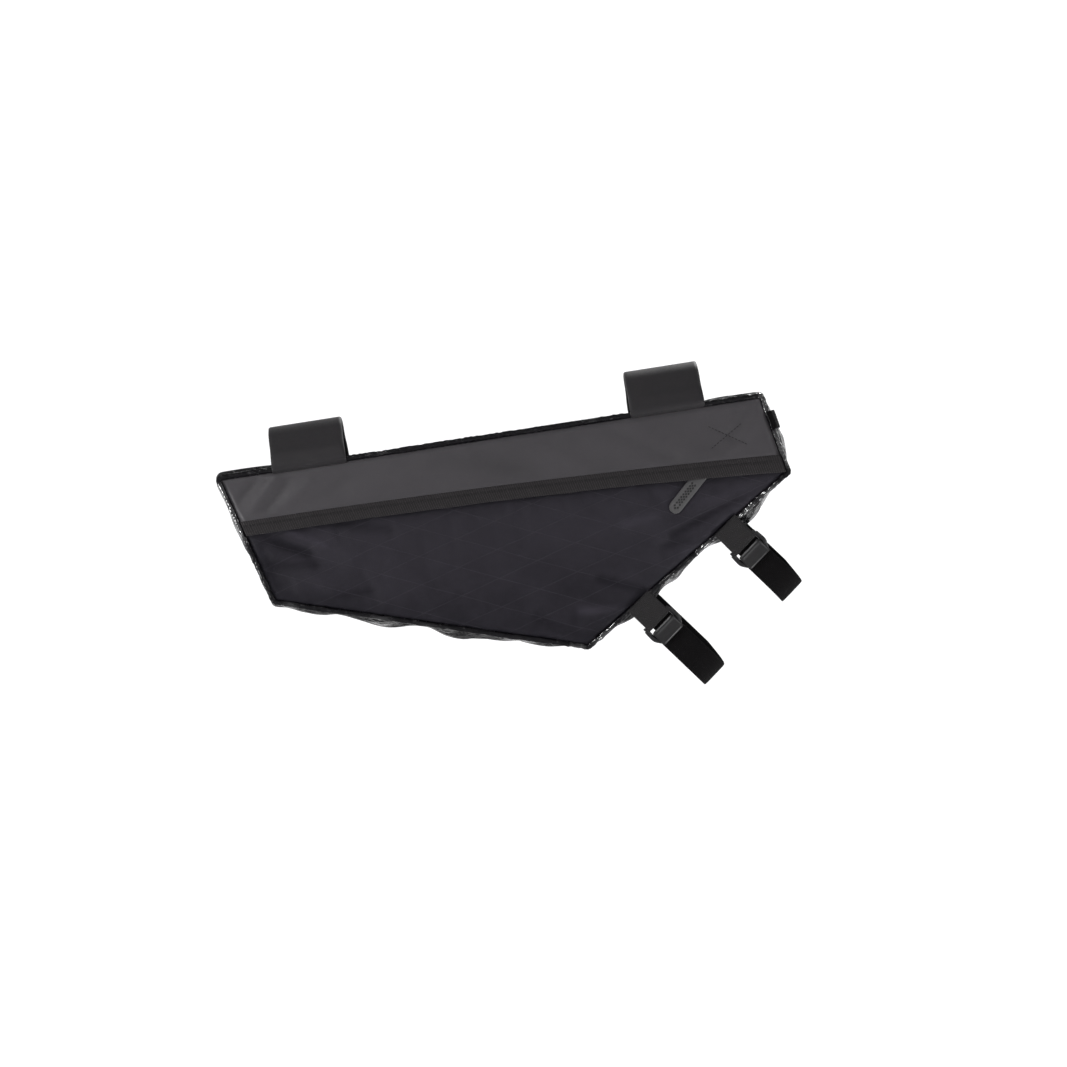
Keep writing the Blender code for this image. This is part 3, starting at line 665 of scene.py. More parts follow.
flap = {
    "hemShareRear": 0.210,
    "hemShareGain": 0.075,
    "hemWidth": 0.0107,
    "hemFlare": 0.0022,
    "hemThickness": 0.0022,
    "hemOverlap": 0.0045,
    "clearance": 0.0007,
}
flapLift = bag["wall"] / 2 + flap["clearance"] + flap["hemThickness"] / 2


def hemTopZ(x):
    share = alongShare(x)
    return downToZ(flap["hemShareRear"] + flap["hemShareGain"] * share * share)


def hemBottomZ(x):
    return hemTopZ(x) - flap["hemWidth"] - flap["hemFlare"] * alongShare(x) ** 4


def panelTopZ(x):
    return hemBottomZ(x) + flap["hemOverlap"]


def sideX(edge, z, inset):
    starts, onward, _outward, _sizes = outlineEdges(inset)
    return starts[edge][0] + onward[edge][0] * (z - starts[edge][1]) / onward[edge][1]


def lineAcross(heightAt, inset, share):
    rearX = sideX(rearEdge, heightAt(alongToX(bagCorners[4][0])), inset)
    frontX = sideX(frontEdge, heightAt(alongToX(bagCorners[2][0])), inset)
    x = rearX + (frontX - rearX) * share
    return np.stack([x, heightAt(x)], axis=-1)


# The zip puller: its lower end's place, and how the flap rides over it

puller = {
    "width": 0.0095,
    "length": 0.0370,
    "thickness": 0.0016,
    "angle": 43.0,              # degrees from the bag's own +X
    "endAlong": 0.793,
    "endDown": 0.442,
    "out": 0.0019,              # from the panel's middle to the puller's
    "recessesAcross": 3,
    "recessesAlong": 9,
    "recessStart": 0.0050,
    "recessStepAcross": 0.00133,
    "recessStepAlong": 0.00249,
    "recessWidth": 0.00200,
    "recessDepth": 0.00060,
    "rim": 0.0015,              # the plain edge beside the recesses
}


def onPuller(along, across):
    # From along and across the puller to x and z
    angle = radians(puller["angle"])
    return (alongToX(puller["endAlong"]) + along * cos(angle) - across * sin(angle),
            downToZ(puller["endDown"]) + along * sin(angle) + across * cos(angle))


def pullerBump(x, z):
    middleX, middleZ = onPuller(puller["length"] * 0.75, 0.0)
    away = np.hypot(x - middleX, z - middleZ)
    needed = puller["out"] + puller["thickness"] / 2 + bag["layerGap"] + flap["hemThickness"] / 2
    return max(0.0, needed - flapLift) * np.exp(-(away / (2.2 * puller["width"])) ** 4)


# Near and far panels: cloth on an even grid, cut along the seams

panels = {
    "cell": 0.0030,
    "inset": 0.0019,            # the panel's edge reaches into the seam's piping
    "thickness": 0.0012,
    "nearGrowth": 0.012,
    "nearPressure": 1.2,
    "nearCap": 0.0022,
    "farGrowth": 0.016,
    "farPressure": 1.2,
    "farCap": 0.0026,
    "frames": 22,
}


def clearOfPuller(x, z):
    # 0 under the zip puller, 1 away from it
    angle = radians(puller["angle"])
    startX, startZ = alongToX(puller["endAlong"]), downToZ(puller["endDown"])
    along = np.clip((x - startX) * cos(angle) + (z - startZ) * sin(angle), 0.0,
                    puller["length"])
    away = np.hypot(x - startX - along * cos(angle), z - startZ - along * sin(angle))
    return np.clip((away - 0.55 * puller["width"]) / 0.010, 0.0, 1.0) ** 0.7


def cutGrid(cell, cuts):
    # An even grid over the bag's outline, cut by lines given as a point and an outward normal
    corners = outlineCorners()
    low, high = corners.min(axis=0), corners.max(axis=0)
    size = high - low
    builder = bmesh.new()
    bmesh.ops.create_grid(builder, x_segments=int(size[0] / cell), y_segments=int(size[1] / cell),
                          size=0.5)
    for vertex in builder.verts:
        vertex.co.x = low[0] + (vertex.co.x + 0.5) * size[0]
        vertex.co.y = low[1] + (vertex.co.y + 0.5) * size[1]
    for place, normal in cuts:
        whole = builder.verts[:] + builder.edges[:] + builder.faces[:]
        bmesh.ops.bisect_plane(builder, geom=whole, plane_co=(place[0], place[1], 0.0),
                               plane_no=(normal[0], normal[1], 0.0), clear_outer=True,
                               dist=0.00002)
    bmesh.ops.remove_doubles(builder, verts=builder.verts, dist=cell * 0.22)
    builder.verts.index_update()
    points = np.array([vertex.co[:2] for vertex in builder.verts])
    faces = [[vertex.index for vertex in face.verts] for face in builder.faces]
    edge = [vertex.index for vertex in builder.verts if vertex.is_boundary]
    builder.free()
    return points, faces, edge


def seamCuts(inset):
    starts, _onward, outward, _sizes = outlineEdges(inset)
    return list(zip(starts, outward))


def tuckedIn(x, z, y, side):
    # The cloth turns in to the seam along its edge
    edge = np.min(edgeDepths(x, z), axis=0) - panels["inset"]
    tuck = np.exp(-(np.maximum(edge, 0.0) / 0.0016) ** 2)
    seam = side * (bag["seamWidth"] / 2)
    return y * (1 - tuck) + seam * tuck


# Finer creases of the near panel: below the hem at the rear, at the front tip, by the straps
panelCreases = [
    (0.070, 0.300, 0.140, 0.390, -0.0019, 0.0034),
    (0.110, 0.290, 0.170, 0.370, 0.0014, 0.0034),
    (0.200, 0.290, 0.290, 0.345, -0.0012, 0.0040),
    (0.055, 0.420, 0.150, 0.450, -0.0014, 0.0040),
    (0.975, 0.385, 0.780, 0.560, -0.0020, 0.0036),
    (0.965, 0.400, 0.700, 0.480, 0.0014, 0.0042),
    (0.900, 0.500, 0.800, 0.640, 0.0017, 0.0040),
    (0.850, 0.590, 0.760, 0.610, -0.0017, 0.0036),
    (0.720, 0.790, 0.640, 0.700, -0.0017, 0.0036),
    (0.690, 0.850, 0.600, 0.830, 0.0014, 0.0040),
    (0.600, 0.960, 0.520, 0.830, -0.0015, 0.0040),
    (0.560, 0.930, 0.440, 0.880, 0.0012, 0.0042),
    (0.100, 0.610, 0.240, 0.600, -0.0014, 0.0036),
    (0.330, 0.760, 0.390, 0.680, -0.0010, 0.0040),
]


def layPanel(name, x, y, z, faces, side):
    piece = makePiece(name, np.stack([x, tuckedIn(x, z, y, side), z], axis=1), faces,
                      panelFabric, np.stack([x, z], axis=1))
    turnFacesTo(piece, (0.0, side, 0.0))
    return piece


def makeNearPanel():
    starts = lineAcross(panelTopZ, 0.0, np.array([0.0, 1.0]))
    slope = (starts[1][1] - starts[0][1]) / (starts[1][0] - starts[0][0])
    topNormal = np.array([-slope, 1.0]) / hypot(slope, 1.0)
    cuts = seamCuts(panels["inset"]) + [(starts[0], topNormal)]
    points, faces, edge = cutGrid(panels["cell"], cuts)
    x, z = points[:, 0], points[:, 1]
    chord = starts[0][1] + slope * (x - starts[0][0])
    below = np.clip((chord - z) / 0.030, 0.0, 1.0)
    z = z + (panelTopZ(x) - chord) * (1 - below) ** 2
    free = clearOfPuller(x, z)
    y = nearMiddle(x, z) - bag["wall"] / 2 - creaseRise(x, z, panelCreases) * free
    piece = layPanel("nearPanel", x, y, z, faces, -1)
    # The flap lies on the panel's top edge, so the cloth moves less there
    underFlap = np.clip((panelTopZ(x) - z) / 0.014, 0.0, 1.0)
    settleCloth(piece, edge, panels["nearGrowth"], panels["nearPressure"], panels["frames"],
                panels["nearCap"], (0.10 + 0.90 * free) * (0.25 + 0.75 * underFlap))
    depths = edgeDepths(x, z)
    # The creases' rise is kept for the finish's painted shade in hollows and painted light on
    # ridges
    marked = creaseRise(x, z, panelCreases) + 0.35 * creaseRise(x, z, nearFolds)
    mark(piece, "creaseShading", marked * free / 0.0024)
    # Painted shade along the rear and bottom seams, and a painted shadow under the hem
    shaded = np.maximum(np.exp(-(depths[rearEdge] / 0.022) ** 1.6),
                        0.8 * np.exp(-(depths[bottomEdge] / 0.020) ** 1.6))
    belowHem = np.maximum(hemBottomZ(x) - z, 0.0) / 0.0042
    mark(piece, "seamShade", np.maximum(shaded, 0.9 * np.exp(-belowHem ** 1.5)))
    finishCloth(piece, panels["thickness"])
    dress(piece, "panel_fabric", "near_panel")


def turnFacesTo(piece, way):
    total = np.zeros(3)
    for face in piece.data.polygons:
        total += np.array(face.normal) * face.area
    if float(np.dot(total, way)) < 0:
        piece.data.flip_normals()


def makeFarPanel():
    points, faces, edge = cutGrid(panels["cell"], seamCuts(panels["inset"]))
    x, z = points[:, 0], points[:, 1]
    y = bag["seamWidth"] / 2 + crown(x, z, farCrown) + bag["wall"] / 2
    piece = layPanel("farPanel", x, y, z, faces, 1)
    settleCloth(piece, edge, panels["farGrowth"], panels["farPressure"], panels["frames"],
                panels["farCap"])
    finishCloth(piece, panels["thickness"])
    dress(piece, "panel_fabric", "far_panel")


makeNearPanel()
makeFarPanel()
print("side panels settled")


# The flap: a coated band whose lower edge is bound by the ribbed hem

band = {
    "columns": 260,
    "rows": 30,
    "thickness": 0.0013,
    "intoHem": 0.0030,          # how far the band's edge goes into its binding
    "flatWidth": 0.062,
    "creases": [
        (0.028, 0.130, 0.069, 0.030, -0.0010, 0.0034),
        (0.050, 0.165, 0.100, 0.045, 0.0009, 0.0032),
        (0.078, 0.175, 0.125, 0.060, -0.0008, 0.0036),
        (0.112, 0.170, 0.160, 0.080, 0.0006, 0.0040),
        (0.150, 0.180, 0.230, 0.090, -0.0004, 0.0060),
        (0.240, 0.160, 0.360, 0.100, 0.0004, 0.0070),
        (0.400, 0.050, 0.520, 0.180, -0.0005, 0.0065),
        (0.560, 0.060, 0.640, 0.210, 0.0004, 0.0060),
        (0.700, 0.060, 0.800, 0.230, -0.0005, 0.0060),
        (0.955, 0.040, 0.910, 0.170, -0.0006, 0.0046),
        (0.965, 0.120, 0.900, 0.250, 0.0006, 0.0046),
        (0.873, 0.114, 0.932, 0.213, -0.00028, 0.0011),
        (0.928, 0.123, 0.872, 0.208, -0.00028, 0.0011),
    ],
}


def flapCreases(x, z):
    # They fade where the hem's binding stiffens the edge
    over = np.clip((z - hemTopZ(x)) / 0.008, 0.0, 1.0)
    return creaseRise(x, z, band["creases"]) * (0.25 + 0.75 * eased(over))


def bandSurface(x, z):
    # The band goes in under the face of its binding
    topZ = downToZ(bagCorners[1][1] / bagCorners[1][0] * alongShare(x))
    lowZ = hemTopZ(x) - band["intoHem"]
    down = np.clip((topZ - z) / (topZ - lowZ), 0.0, 1.0)
    under = np.clip((hemTopZ(x) + 0.0008 - z) / 0.0012, 0.0, 1.0)
    out = flapLift * down ** 1.5 + pullerBump(x, z)
    return nearMiddle(x, z) - flapCreases(x, z) - out + 0.00055 * under


def makeBand():
    across, down = np.meshgrid(np.linspace(0, 1, band["columns"]), np.linspace(0, 1, band["rows"]))
    corners = outlineCorners(panels["inset"])
    upper = corners[0] + (corners[1] - corners[0]) * across[..., None]
    lower = lineAcross(lambda x: hemTopZ(x) - band["intoHem"], panels["inset"], across)
    flatPlace = upper + (lower - upper) * down[..., None]
    x, z = flatPlace[..., 0], flatPlace[..., 1]
    y = bandSurface(x, z) - band["thickness"] / 2
    y = tuckedIn(x, z, y, -1)
    piece = makePiece("upperBand", np.stack([x, y, z], axis=-1).reshape(-1, 3),
                      gridFaces(band["rows"], band["columns"]), coatedBand,
                      np.stack([x, z], axis=-1).reshape(-1, 2))
    turnFacesTo(piece, (0.0, -1.0, 0.0))
    # The creases' rise is kept for the finish's painted shade in hollows and painted light on
    # ridges
    mark(piece, "creaseShading", creaseRise(x, z, band["creases"] + nearFolds) / 0.0016)
    finishCloth(piece, band["thickness"])
    dress(piece, "coated_band", "upper_band")


hem = {
    "step": 0.0012,
    "inset": 0.0021,
    "wave": 0.00016,            # how far the lower edge wanders
    "stitchDown": 0.34,         # the stitch line's share of the hem's width
    "sectionPoints": 17,
}


def hemLine(share):
    upper = lineAcross(hemTopZ, hem["inset"], share)
    lower = lineAcross(hemBottomZ, hem["inset"], share)
    wander = hem["wave"] * (np.sin(share * 61.0) * 0.6 + np.sin(share * 27.0 + 1.3) * 0.7
                            + np.sin(share * 113.0 + 0.4) * 0.35)
    ends = np.sin(pi * share) ** 0.4
    lower[:, 1] += wander * ends
    return upper, lower


def hemFrame(share):
    # The middle of the hem, the ways across and out of it, and its half width
    upper, lower = hemLine(share)

    def lifted(place):
        x, z = place[:, 0], place[:, 1]
        y = nearMiddle(x, z) - flapCreases(x, z) - flapLift - pullerBump(x, z)
        return np.stack([x, y, z], axis=1)

    top, low = lifted(upper), lifted(lower)
    path = (top + low) / 2
    sideways = unit(low - top)
    outward = unit(np.cross(tangents(path), sideways))
    outward *= np.where(outward[:, 1:2] > 0, -1.0, 1.0)
    return path, sideways, outward, np.linalg.norm(low - top, axis=1) / 2


def makeHem():
    share = np.linspace(0.0, 1.0, int(bag["length"] / hem["step"]))
    path, sideways, outward, halfWidth = hemFrame(share)
    piece = sweep("flapHem", path, sideways, outward, hemSection(flap["hemThickness"]),
                  halfWidth, ribbedHem)
    dress(piece, "ribbed_hem", "flap_hem")


def hemSection(thickness):
    # A folded binding: thin where it's sewn to the band, fuller along its lower edge
    across = np.cos(np.linspace(pi, 0.0, hem["sectionPoints"]))
    full = 0.80 + 0.20 * across - 0.16 * np.exp(-((across + 0.32) / 0.16) ** 2)
    rim = np.maximum(1 - np.abs(across) ** 9, 0.0) ** 0.5
    return closedSection(across, thickness / 2 * full * rim, -(thickness / 2 * rim))


makeBand()
makeHem()
print("flap and hem made")


# Geometry trees

class Growth(Bench):
    # Its inputs are named; it ends with real meshes that carry the material it's given
    def __init__(self, name, material, numbers, counts=()):
        super().__init__(bpy.data.node_groups.new(name, "GeometryNodeTree"))
        self.material = material
        kinds = [("Geometry", "Geometry"), (material, "Material")]
        kinds += [(label, "Float") for label in numbers] + [(label, "Int") for label in counts]
        sides = self.tree.interface
        for label, kind in kinds:
            sides.new_socket(label, in_out="INPUT", socket_type="NodeSocket" + kind)
        sides.new_socket("Geometry", in_out="OUTPUT", socket_type="NodeSocketGeometry")
        self.given = self.add("NodeGroupInput")

    def vector(self, x, y, z):
        return self.add("ShaderNodeCombineXYZ", {0: x, 1: y, 2: z})

    def beads(self, rings, length, radius):
        # Places along the given line, and the long bead that goes on each
        line = self.add("GeometryNodeMeshToCurve", {0: self.given.at("Geometry")})
        spots = self.add("GeometryNodeCurveToPoints",
                         {"Curve": line, "Length": self.given.at("Pitch")}, mode="LENGTH")
        bead = self.add("GeometryNodeMeshUVSphere",
                        {"Segments": 6, "Rings": rings, "Radius": 1.0})
        return spots, self.add("GeometryNodeTransform", {
            "Geometry": bead, "Scale": self.vector(radius, radius, length * 0.5)})

    def close(self, geometry):
        real = self.add("GeometryNodeRealizeInstances", {0: geometry})
        dressed = self.add("GeometryNodeSetMaterial", {
            "Geometry": real, "Material": self.given.at(self.material)})
        self.add("NodeGroupOutput", {0: dressed})
        return self.tree


def grow(piece, tree, values):
    # Runs a geometry tree on a piece and keeps the result as its plain mesh
    modifier = piece.modifiers.new("grown", "NODES")
    modifier.node_group = tree
    names = {item.name: item.identifier for item in tree.interface.items_tree
             if item.in_out == "INPUT"}
    for label, value in values.items():
        modifier[names[label]] = value
    evaluated = piece.evaluated_get(bpy.context.evaluated_depsgraph_get())
    mesh = bpy.data.meshes.new_from_object(evaluated)
    piece.modifiers.remove(modifier)
    old, piece.data = piece.data, mesh
    bpy.data.meshes.remove(old)
    mesh.shade_smooth()


def makeLines(name, lines):
    points, edges = [], []
    for line in lines:
        first = len(points)
        points.extend(line.tolist())
        edges.extend((first + step, first + step + 1) for step in range(len(line) - 1))
    return newPiece(name, turned(points), edges, [])


# Stitches: one tree lays threads along any line

def stitchTree():
    growth = Growth("stitches", "Thread",
                    ("Pitch", "Stitch Length", "Thread Radius", "Unevenness"), ("Seed",))
    given = growth.given
    spots, thread = growth.beads(5, given.at("Stitch Length"), given.at("Thread Radius"))
    vary = growth.add("FunctionNodeRandomValue", {
        2: 1.0 - given.at("Unevenness"), 3: 1.0 + given.at("Unevenness"),
        "Seed": given.at("Seed")}, data_type="FLOAT").at(1)
    return growth.close(growth.add("GeometryNodeInstanceOnPoints", {
        "Points": spots.at("Points"), "Instance": thread, "Rotation": spots.at("Rotation"),
        "Scale": vary}))


stitching = {
    "pitch": 0.0030,
    "radius": 0.00030,
    "unevenness": 0.10,
    "seed": 11,
    "lineStep": 0.0015,
    "crossPitch": 0.0026,
    "crossRadius": 0.00026,
    # Both ends of each line of the cross, x and z
    "cross": [((0.1560, -0.0287), (0.1798, -0.0444)), ((0.1780, -0.0301), (0.1557, -0.0437))],
}
stitches = stitchTree()


def sewLines(name, lines, thread, slot, pitch, radius):
    piece = makeLines(name, [evenly(line, stitching["lineStep"])[0] for line in lines])
    grow(piece, stitches, {
        "Pitch": pitch, "Stitch Length": pitch * 0.8, "Thread Radius": radius,
        "Unevenness": stitching["unevenness"], "Seed": stitching["seed"], "Thread": thread})
    dress(piece, slot)


def sewHem():
    path, sideways, outward, halfWidth = hemFrame(np.linspace(0.006, 0.994, 500))
    across = 2 * hem["stitchDown"] - 1
    section = hemSection(flap["hemThickness"])[:hem["sectionPoints"]]
    height = float(np.interp(across, section[:, 0], section[:, 1])) + stitching["radius"] * 0.3
    line = path + sideways * (across * halfWidth)[:, None] + outward * height
    sewLines("hemStitches", [line], darkThread, "ribbed_hem", stitching["pitch"],
             stitching["radius"])


def sewCross():
    # The crossed stitches on the front of the band
    lines = []
    for start, end in stitching["cross"]:
        place = np.linspace(start, end, 30)
        x, z = place[:, 0], place[:, 1]
        y = bandSurface(x, z) - band["thickness"] / 2
        lines.append(np.stack([x, y - 0.00004, z], axis=1))
    sewLines("bandCrossStitches", lines, crossThread, "coated_band", stitching["crossPitch"],
             stitching["crossRadius"])


sewHem()
sewCross()
print("stitches sewn")


# The zip behind the hem: two tapes and a closed coil

zipper = {
    "width": 0.0095,
    "tapeThickness": 0.0009,
    "coilPitch": 0.0014,
    "coilWidth": 0.0042,
    "coilRadius": 0.00055,
    "inset": 0.0030,
    "above": 0.0006,            # from the panel's top edge to the zip
}


def coilTree():
    growth = Growth("zipCoil", "Plastic", ("Pitch", "Width", "Radius"))
    spots, tooth = growth.beads(4, growth.given.at("Width"), growth.given.at("Radius"))
    return growth.close(growth.add("GeometryNodeInstanceOnPoints", {
        "Points": spots.at("Points"), "Instance": tooth}))


def makeZip():
    share = np.linspace(0.0, 1.0, 180)
    middle = lineAcross(lambda x: panelTopZ(x) + zipper["width"] / 2 + zipper["above"],
                        zipper["inset"], share)
    x, z = middle[:, 0], middle[:, 1]
    path = np.stack([x, nearMiddle(x, z), z], axis=1)
    tape = sweep("zipTapes", path, (0.0, 0.0, 1.0), (0.0, -1.0, 0.0),
                 flatSection(zipper["tapeThickness"]), zipper["width"] / 2 - bag["layerGap"],
                 zipTape)
    dress(tape, "zip_tape", "zip")
    coil = makeLines("zipCoil", [path - np.array([0.0, zipper["tapeThickness"] / 2, 0.0])])
    grow(coil, coilTree(), {"Pitch": zipper["coilPitch"], "Width": zipper["coilWidth"],
                            "Radius": zipper["coilRadius"], "Plastic": bucklePlastic})
    dress(coil, "zip_tape")


makeZip()
print("zip made")


# The puller's recesses: a tree cuts a staggered lattice of diamonds into its face

def recessTree():
    growth = Growth("recesses", "Rubber", ("Step Across", "Step Along", "Start Along", "Height",
                                           "Width", "Depth"), ("Across", "Along"))
    given = growth.given
    sizeAcross = given.at("Step Across") * (given.at("Across") - 1.0)
    sizeAlong = given.at("Step Along") * (given.at("Along") - 1.0)
    lattice = growth.add("GeometryNodeMeshGrid", {
        "Size X": sizeAcross, "Size Y": sizeAlong,
        "Vertices X": given.at("Across"), "Vertices Y": given.at("Along")})
    row = growth.add("GeometryNodeInputIndex") % given.at("Along")
    column = (growth.add("GeometryNodeInputIndex") - row) / given.at("Along")
    stagger = (column % 2.0) * given.at("Step Along") * 0.5
    shift = growth.vector(None, sizeAlong * 0.5 + given.at("Start Along") - stagger,
                          given.at("Height"))
    spots = growth.add("GeometryNodeSetPosition", {"Geometry": lattice, "Offset": shift})
    pit = growth.add("GeometryNodeMeshCone", {
        "Vertices": 4, "Radius Top": given.at("Width") * 0.5, "Radius Bottom": 0.0,
        "Depth": given.at("Depth") + 0.00004})
    pit = growth.add("GeometryNodeTransform", {"Geometry": pit, "Scale": (1.0, 1.15, 1.0)})
    pit = growth.add("GeometryNodeTransform", {
        "Geometry": pit, "Translation": growth.vector(None, None, given.at("Depth") * -1.0)})
    pits = growth.add("GeometryNodeInstanceOnPoints", {"Points": spots, "Instance": pit})
    pits = growth.add("GeometryNodeRealizeInstances", {0: pits})
    return growth.close(growth.add("GeometryNodeMeshBoolean", {
        "Mesh 1": given.at("Geometry"), "Mesh 2": pits}, operation="DIFFERENCE"))


def makePuller():
    half = puller["width"] / 2
    reach = half * (1 - np.cos(np.linspace(0.0, pi / 2, 12)))
    reach = np.concatenate([reach[:-1], np.linspace(half, puller["length"], 26)])
    short = np.maximum(1 - (reach + 0.0002) / (half + 0.0002), 0.0)
    halfWidth = half * np.sqrt(np.maximum(1 - short ** 2, 0.0004))
    section = flatSection(puller["thickness"], count=11)
    across = section[:, 0][None, :] * halfWidth[:, None]
    height = np.broadcast_to(section[:, 1], across.shape)
    along = np.broadcast_to(reach[:, None], across.shape)
    piece = newPiece("zipPuller", np.stack([across, along, height], axis=-1).reshape(-1, 3), [],
                     tubeFaces(*across.shape))
    faceOutward(piece)
    grow(piece, recessTree(), {
        "Across": puller["recessesAcross"], "Along": puller["recessesAlong"],
        "Step Across": puller["recessStepAcross"], "Step Along": puller["recessStepAlong"],
        "Start Along": puller["recessStart"], "Height": puller["thickness"] / 2,
        "Width": puller["recessWidth"], "Depth": puller["recessDepth"],
        "Rubber": pullerRubber})
    # The flat tab is laid on the panel
    mesh = piece.data
    across, along, height = readPoints(mesh).T
    spots = np.array([face.center for face in mesh.polygons])
    steep = np.array([face.normal[2] < 0.90 for face in mesh.polygons])
    # The recesses' faces are marked for painted shade
    mark(piece, "sunkShade", steep & (spots[:, 2] > 0.0) & (np.abs(spots[:, 0]) < half - puller["rim"])
         & (spots[:, 1] > puller["recessStart"] * 0.5), "FACE")
    x, z = onPuller(along - half, across)
    y = nearMiddle(x, z) - puller["out"] - height
    writePoints(mesh, turned(np.stack([x, y, z], axis=1)))
    faceOutward(piece)
    dress(piece, "puller_rubber", "zip_puller")


makePuller()
print("puller made")


# The path round the bag that the seams follow

def seamPath(step):
    # Stations with rounded corners: place, outward normal, edge and share along it
    starts, onward, outward, sizes = outlineEdges()
    radius = bag["cornerRadius"]
    stations = []

    def turnInto(edge):
        # Where a corner's arc starts, how far it turns, and what it takes from each edge
        first, last = (atan2(out[1], out[0]) for out in (outward[edge - 1], outward[edge]))
        turn = (last - first + pi) % (2 * pi) - pi
        return first, turn, radius * abs(sin(turn / 2) / cos(turn / 2))

    for index in range(5):
        first, turn, setback = turnInto(index)
        nextSetback = turnInto((index + 1) % 5)[2]
        centre = starts[index] + onward[index] * setback - outward[index] * radius
        arc = max(4, int(round(abs(turn) * radius / step)) + 3)
        for part in range(arc):
            angle = first + turn * part / arc
            normal = np.array([cos(angle), sin(angle)])
            stations.append((centre + normal * radius, normal, index, 0.0))
        run = sizes[index] - setback - nextSetback
        count = max(4, round(run / step))
        for part in range(count):
            place = starts[index] + onward[index] * (setback + run * part / count)
            stations.append((place, outward[index], index, part / count))
    return [np.array(column) for column in zip(*stations)]


# Where the glossy cloth catches the light: edge, place along it, reach in metres, strength
shineSpots = [
    (rearEdge, 0.82, 0.024, 1.0), (rearEdge, 0.58, 0.014, 0.9), (rearEdge, 0.22, 0.034, 0.50),
    (topEdge, 0.10, 0.020, 0.50), (topEdge, 0.30, 0.010, 0.60), (topEdge, 0.69, 0.010, 0.55),
    (frontEdge, 0.08, 0.010, 1.0), (frontEdge, 0.72, 0.020, 1.0),
    (frontLowerEdge, 0.10, 0.016, 0.8), (frontLowerEdge, 0.22, 0.014, 1.0),
    (frontLowerEdge, 0.42, 0.010, 0.9), (frontLowerEdge, 0.60, 0.016, 0.6),
    (frontLowerEdge, 0.93, 0.018, 0.8), (bottomEdge, 0.03, 0.008, 1.0),
    (bottomEdge, 0.20, 0.030, 0.45), (bottomEdge, 0.50, 0.022, 0.6),
    (bottomEdge, 0.66, 0.020, 0.6), (bottomEdge, 0.95, 0.012, 0.7),
]


def shineAlong(edges, shares):
    sizes = outlineEdges()[3]
    out = np.full(len(edges), 0.24)
    for edge, place, reach, strength in shineSpots:
        away = (shares - place) * sizes[edge] / reach
        out = np.maximum(out, np.where(edges == edge, strength * np.exp(-away ** 2), 0.0))
    return out


def besideSeam(places, normals, out, y):
    # Points that lie this far out from the seams' path
    points = np.empty((*out.shape, 3))
    points[..., 0] = places[:, None, 0] + normals[:, None, 0] * out
    points[..., 1] = y
    points[..., 2] = places[:, None, 1] + normals[:, None, 1] * out
    return points


piping = {
    "radius": 0.0020,
    "step": 0.0011,
    "pucker": 0.00024,          # depth of the puckers across the cord
    "fold": 0.00026,            # depth of the long folds that drift round it
    "waver": 0.00034,
    "sides": 20,
    "nearSeed": 4,
    "farSeed": 9,
}


def makePiping(name, node, side, seed):
    chance = np.random.default_rng(seed)
    places, normals, edges, shares = seamPath(piping["step"])
    count = len(places)
    run = np.arange(count) / count * 2 * pi
    waver = sum(chance.uniform(0.3, 1.0) / waves * 6 * np.sin(run * waves + chance.uniform(0, 6))
                for waves in (9, 14, 23, 37)) * piping["waver"] / 2
    places = places + normals * waver[:, None]
    section = roundSection(piping["radius"], piping["sides"])
    turn = np.arctan2(section[:, 1], section[:, 0])
    # Puckers slant across the cord and come and go along it
    pucker = np.zeros((count, len(section)))
    for waves in (131, 173, 219, 268):
        lean = chance.uniform(0.6, 1.6) * (1 if waves % 2 else -1)
        swell = 0.5 + 0.5 * np.sin(run * chance.integers(7, 15) + chance.uniform(0, 6))
        pucker += swell[:, None] * np.sin(run[:, None] * waves + turn[None, :] * lean
                                          + chance.uniform(0, 6))
    drift = sum(chance.uniform(0.5, 1.4) * np.sin(run * waves + chance.uniform(0, 6))
                for waves in (5, 11, 19, 31))
    fold = np.sin(turn[None, :] * 3 + drift[:, None] * 2.2)
    fold = np.sign(fold) * np.abs(fold) ** 0.7 * (0.6 + 0.4 * np.sin(run * 43))[:, None]
    radius = piping["radius"] - 0.00012 + pucker * piping["pucker"] / 2 + fold * piping["fold"]
    points = besideSeam(places, normals, np.cos(turn) * radius,
                        side * bag["seamWidth"] / 2 + np.sin(turn) * radius)
    piece = makePiece(name, points.reshape(-1, 3), gridFaces(count, len(section), True, True),
                      pipingFabric)
    mark(piece, "shine", np.repeat(shineAlong(edges, shares), len(section)))
    faceOutward(piece)
    dress(piece, "piping", node)


makePiping("nearPiping", "near_piping", -1, piping["nearSeed"])
makePiping("farPiping", "far_piping", 1, piping["farSeed"])
print("piping made")


# The gusset between the seams, crumpled and pressed in by the top tube

gusset = {
    "step": 0.0027,
    "rows": 22,
    "cornerSwell": (0.080, 0.060, 0.036, 0.040, 0.056),     # from the rear top corner on
    "crumpleSpan": 0.28,
    "flatWidth": 0.060,
    "thickness": 0.0012,
    "growth": 0.045,
    "pressure": 0.8,
    "cap": 0.0026,
    "frames": 24,
    # How far the cloth may settle at each edge: top, front, front lower, bottom, rear
    "settle": (0.55, 0.70, 0.70, 0.60, 0.30),
}
# Swell past each edge, as shares of the seam width, at its quarter points
gussetSwell = {
    topEdge: (0.016, 0.010, 0.016),
    frontEdge: (0.080, 0.095, 0.085),
    frontLowerEdge: (0.125, 0.068, 0.088),
    bottomEdge: (0.072, 0.078, 0.070),
    rearEdge: (0.060, 0.062, 0.058),
}
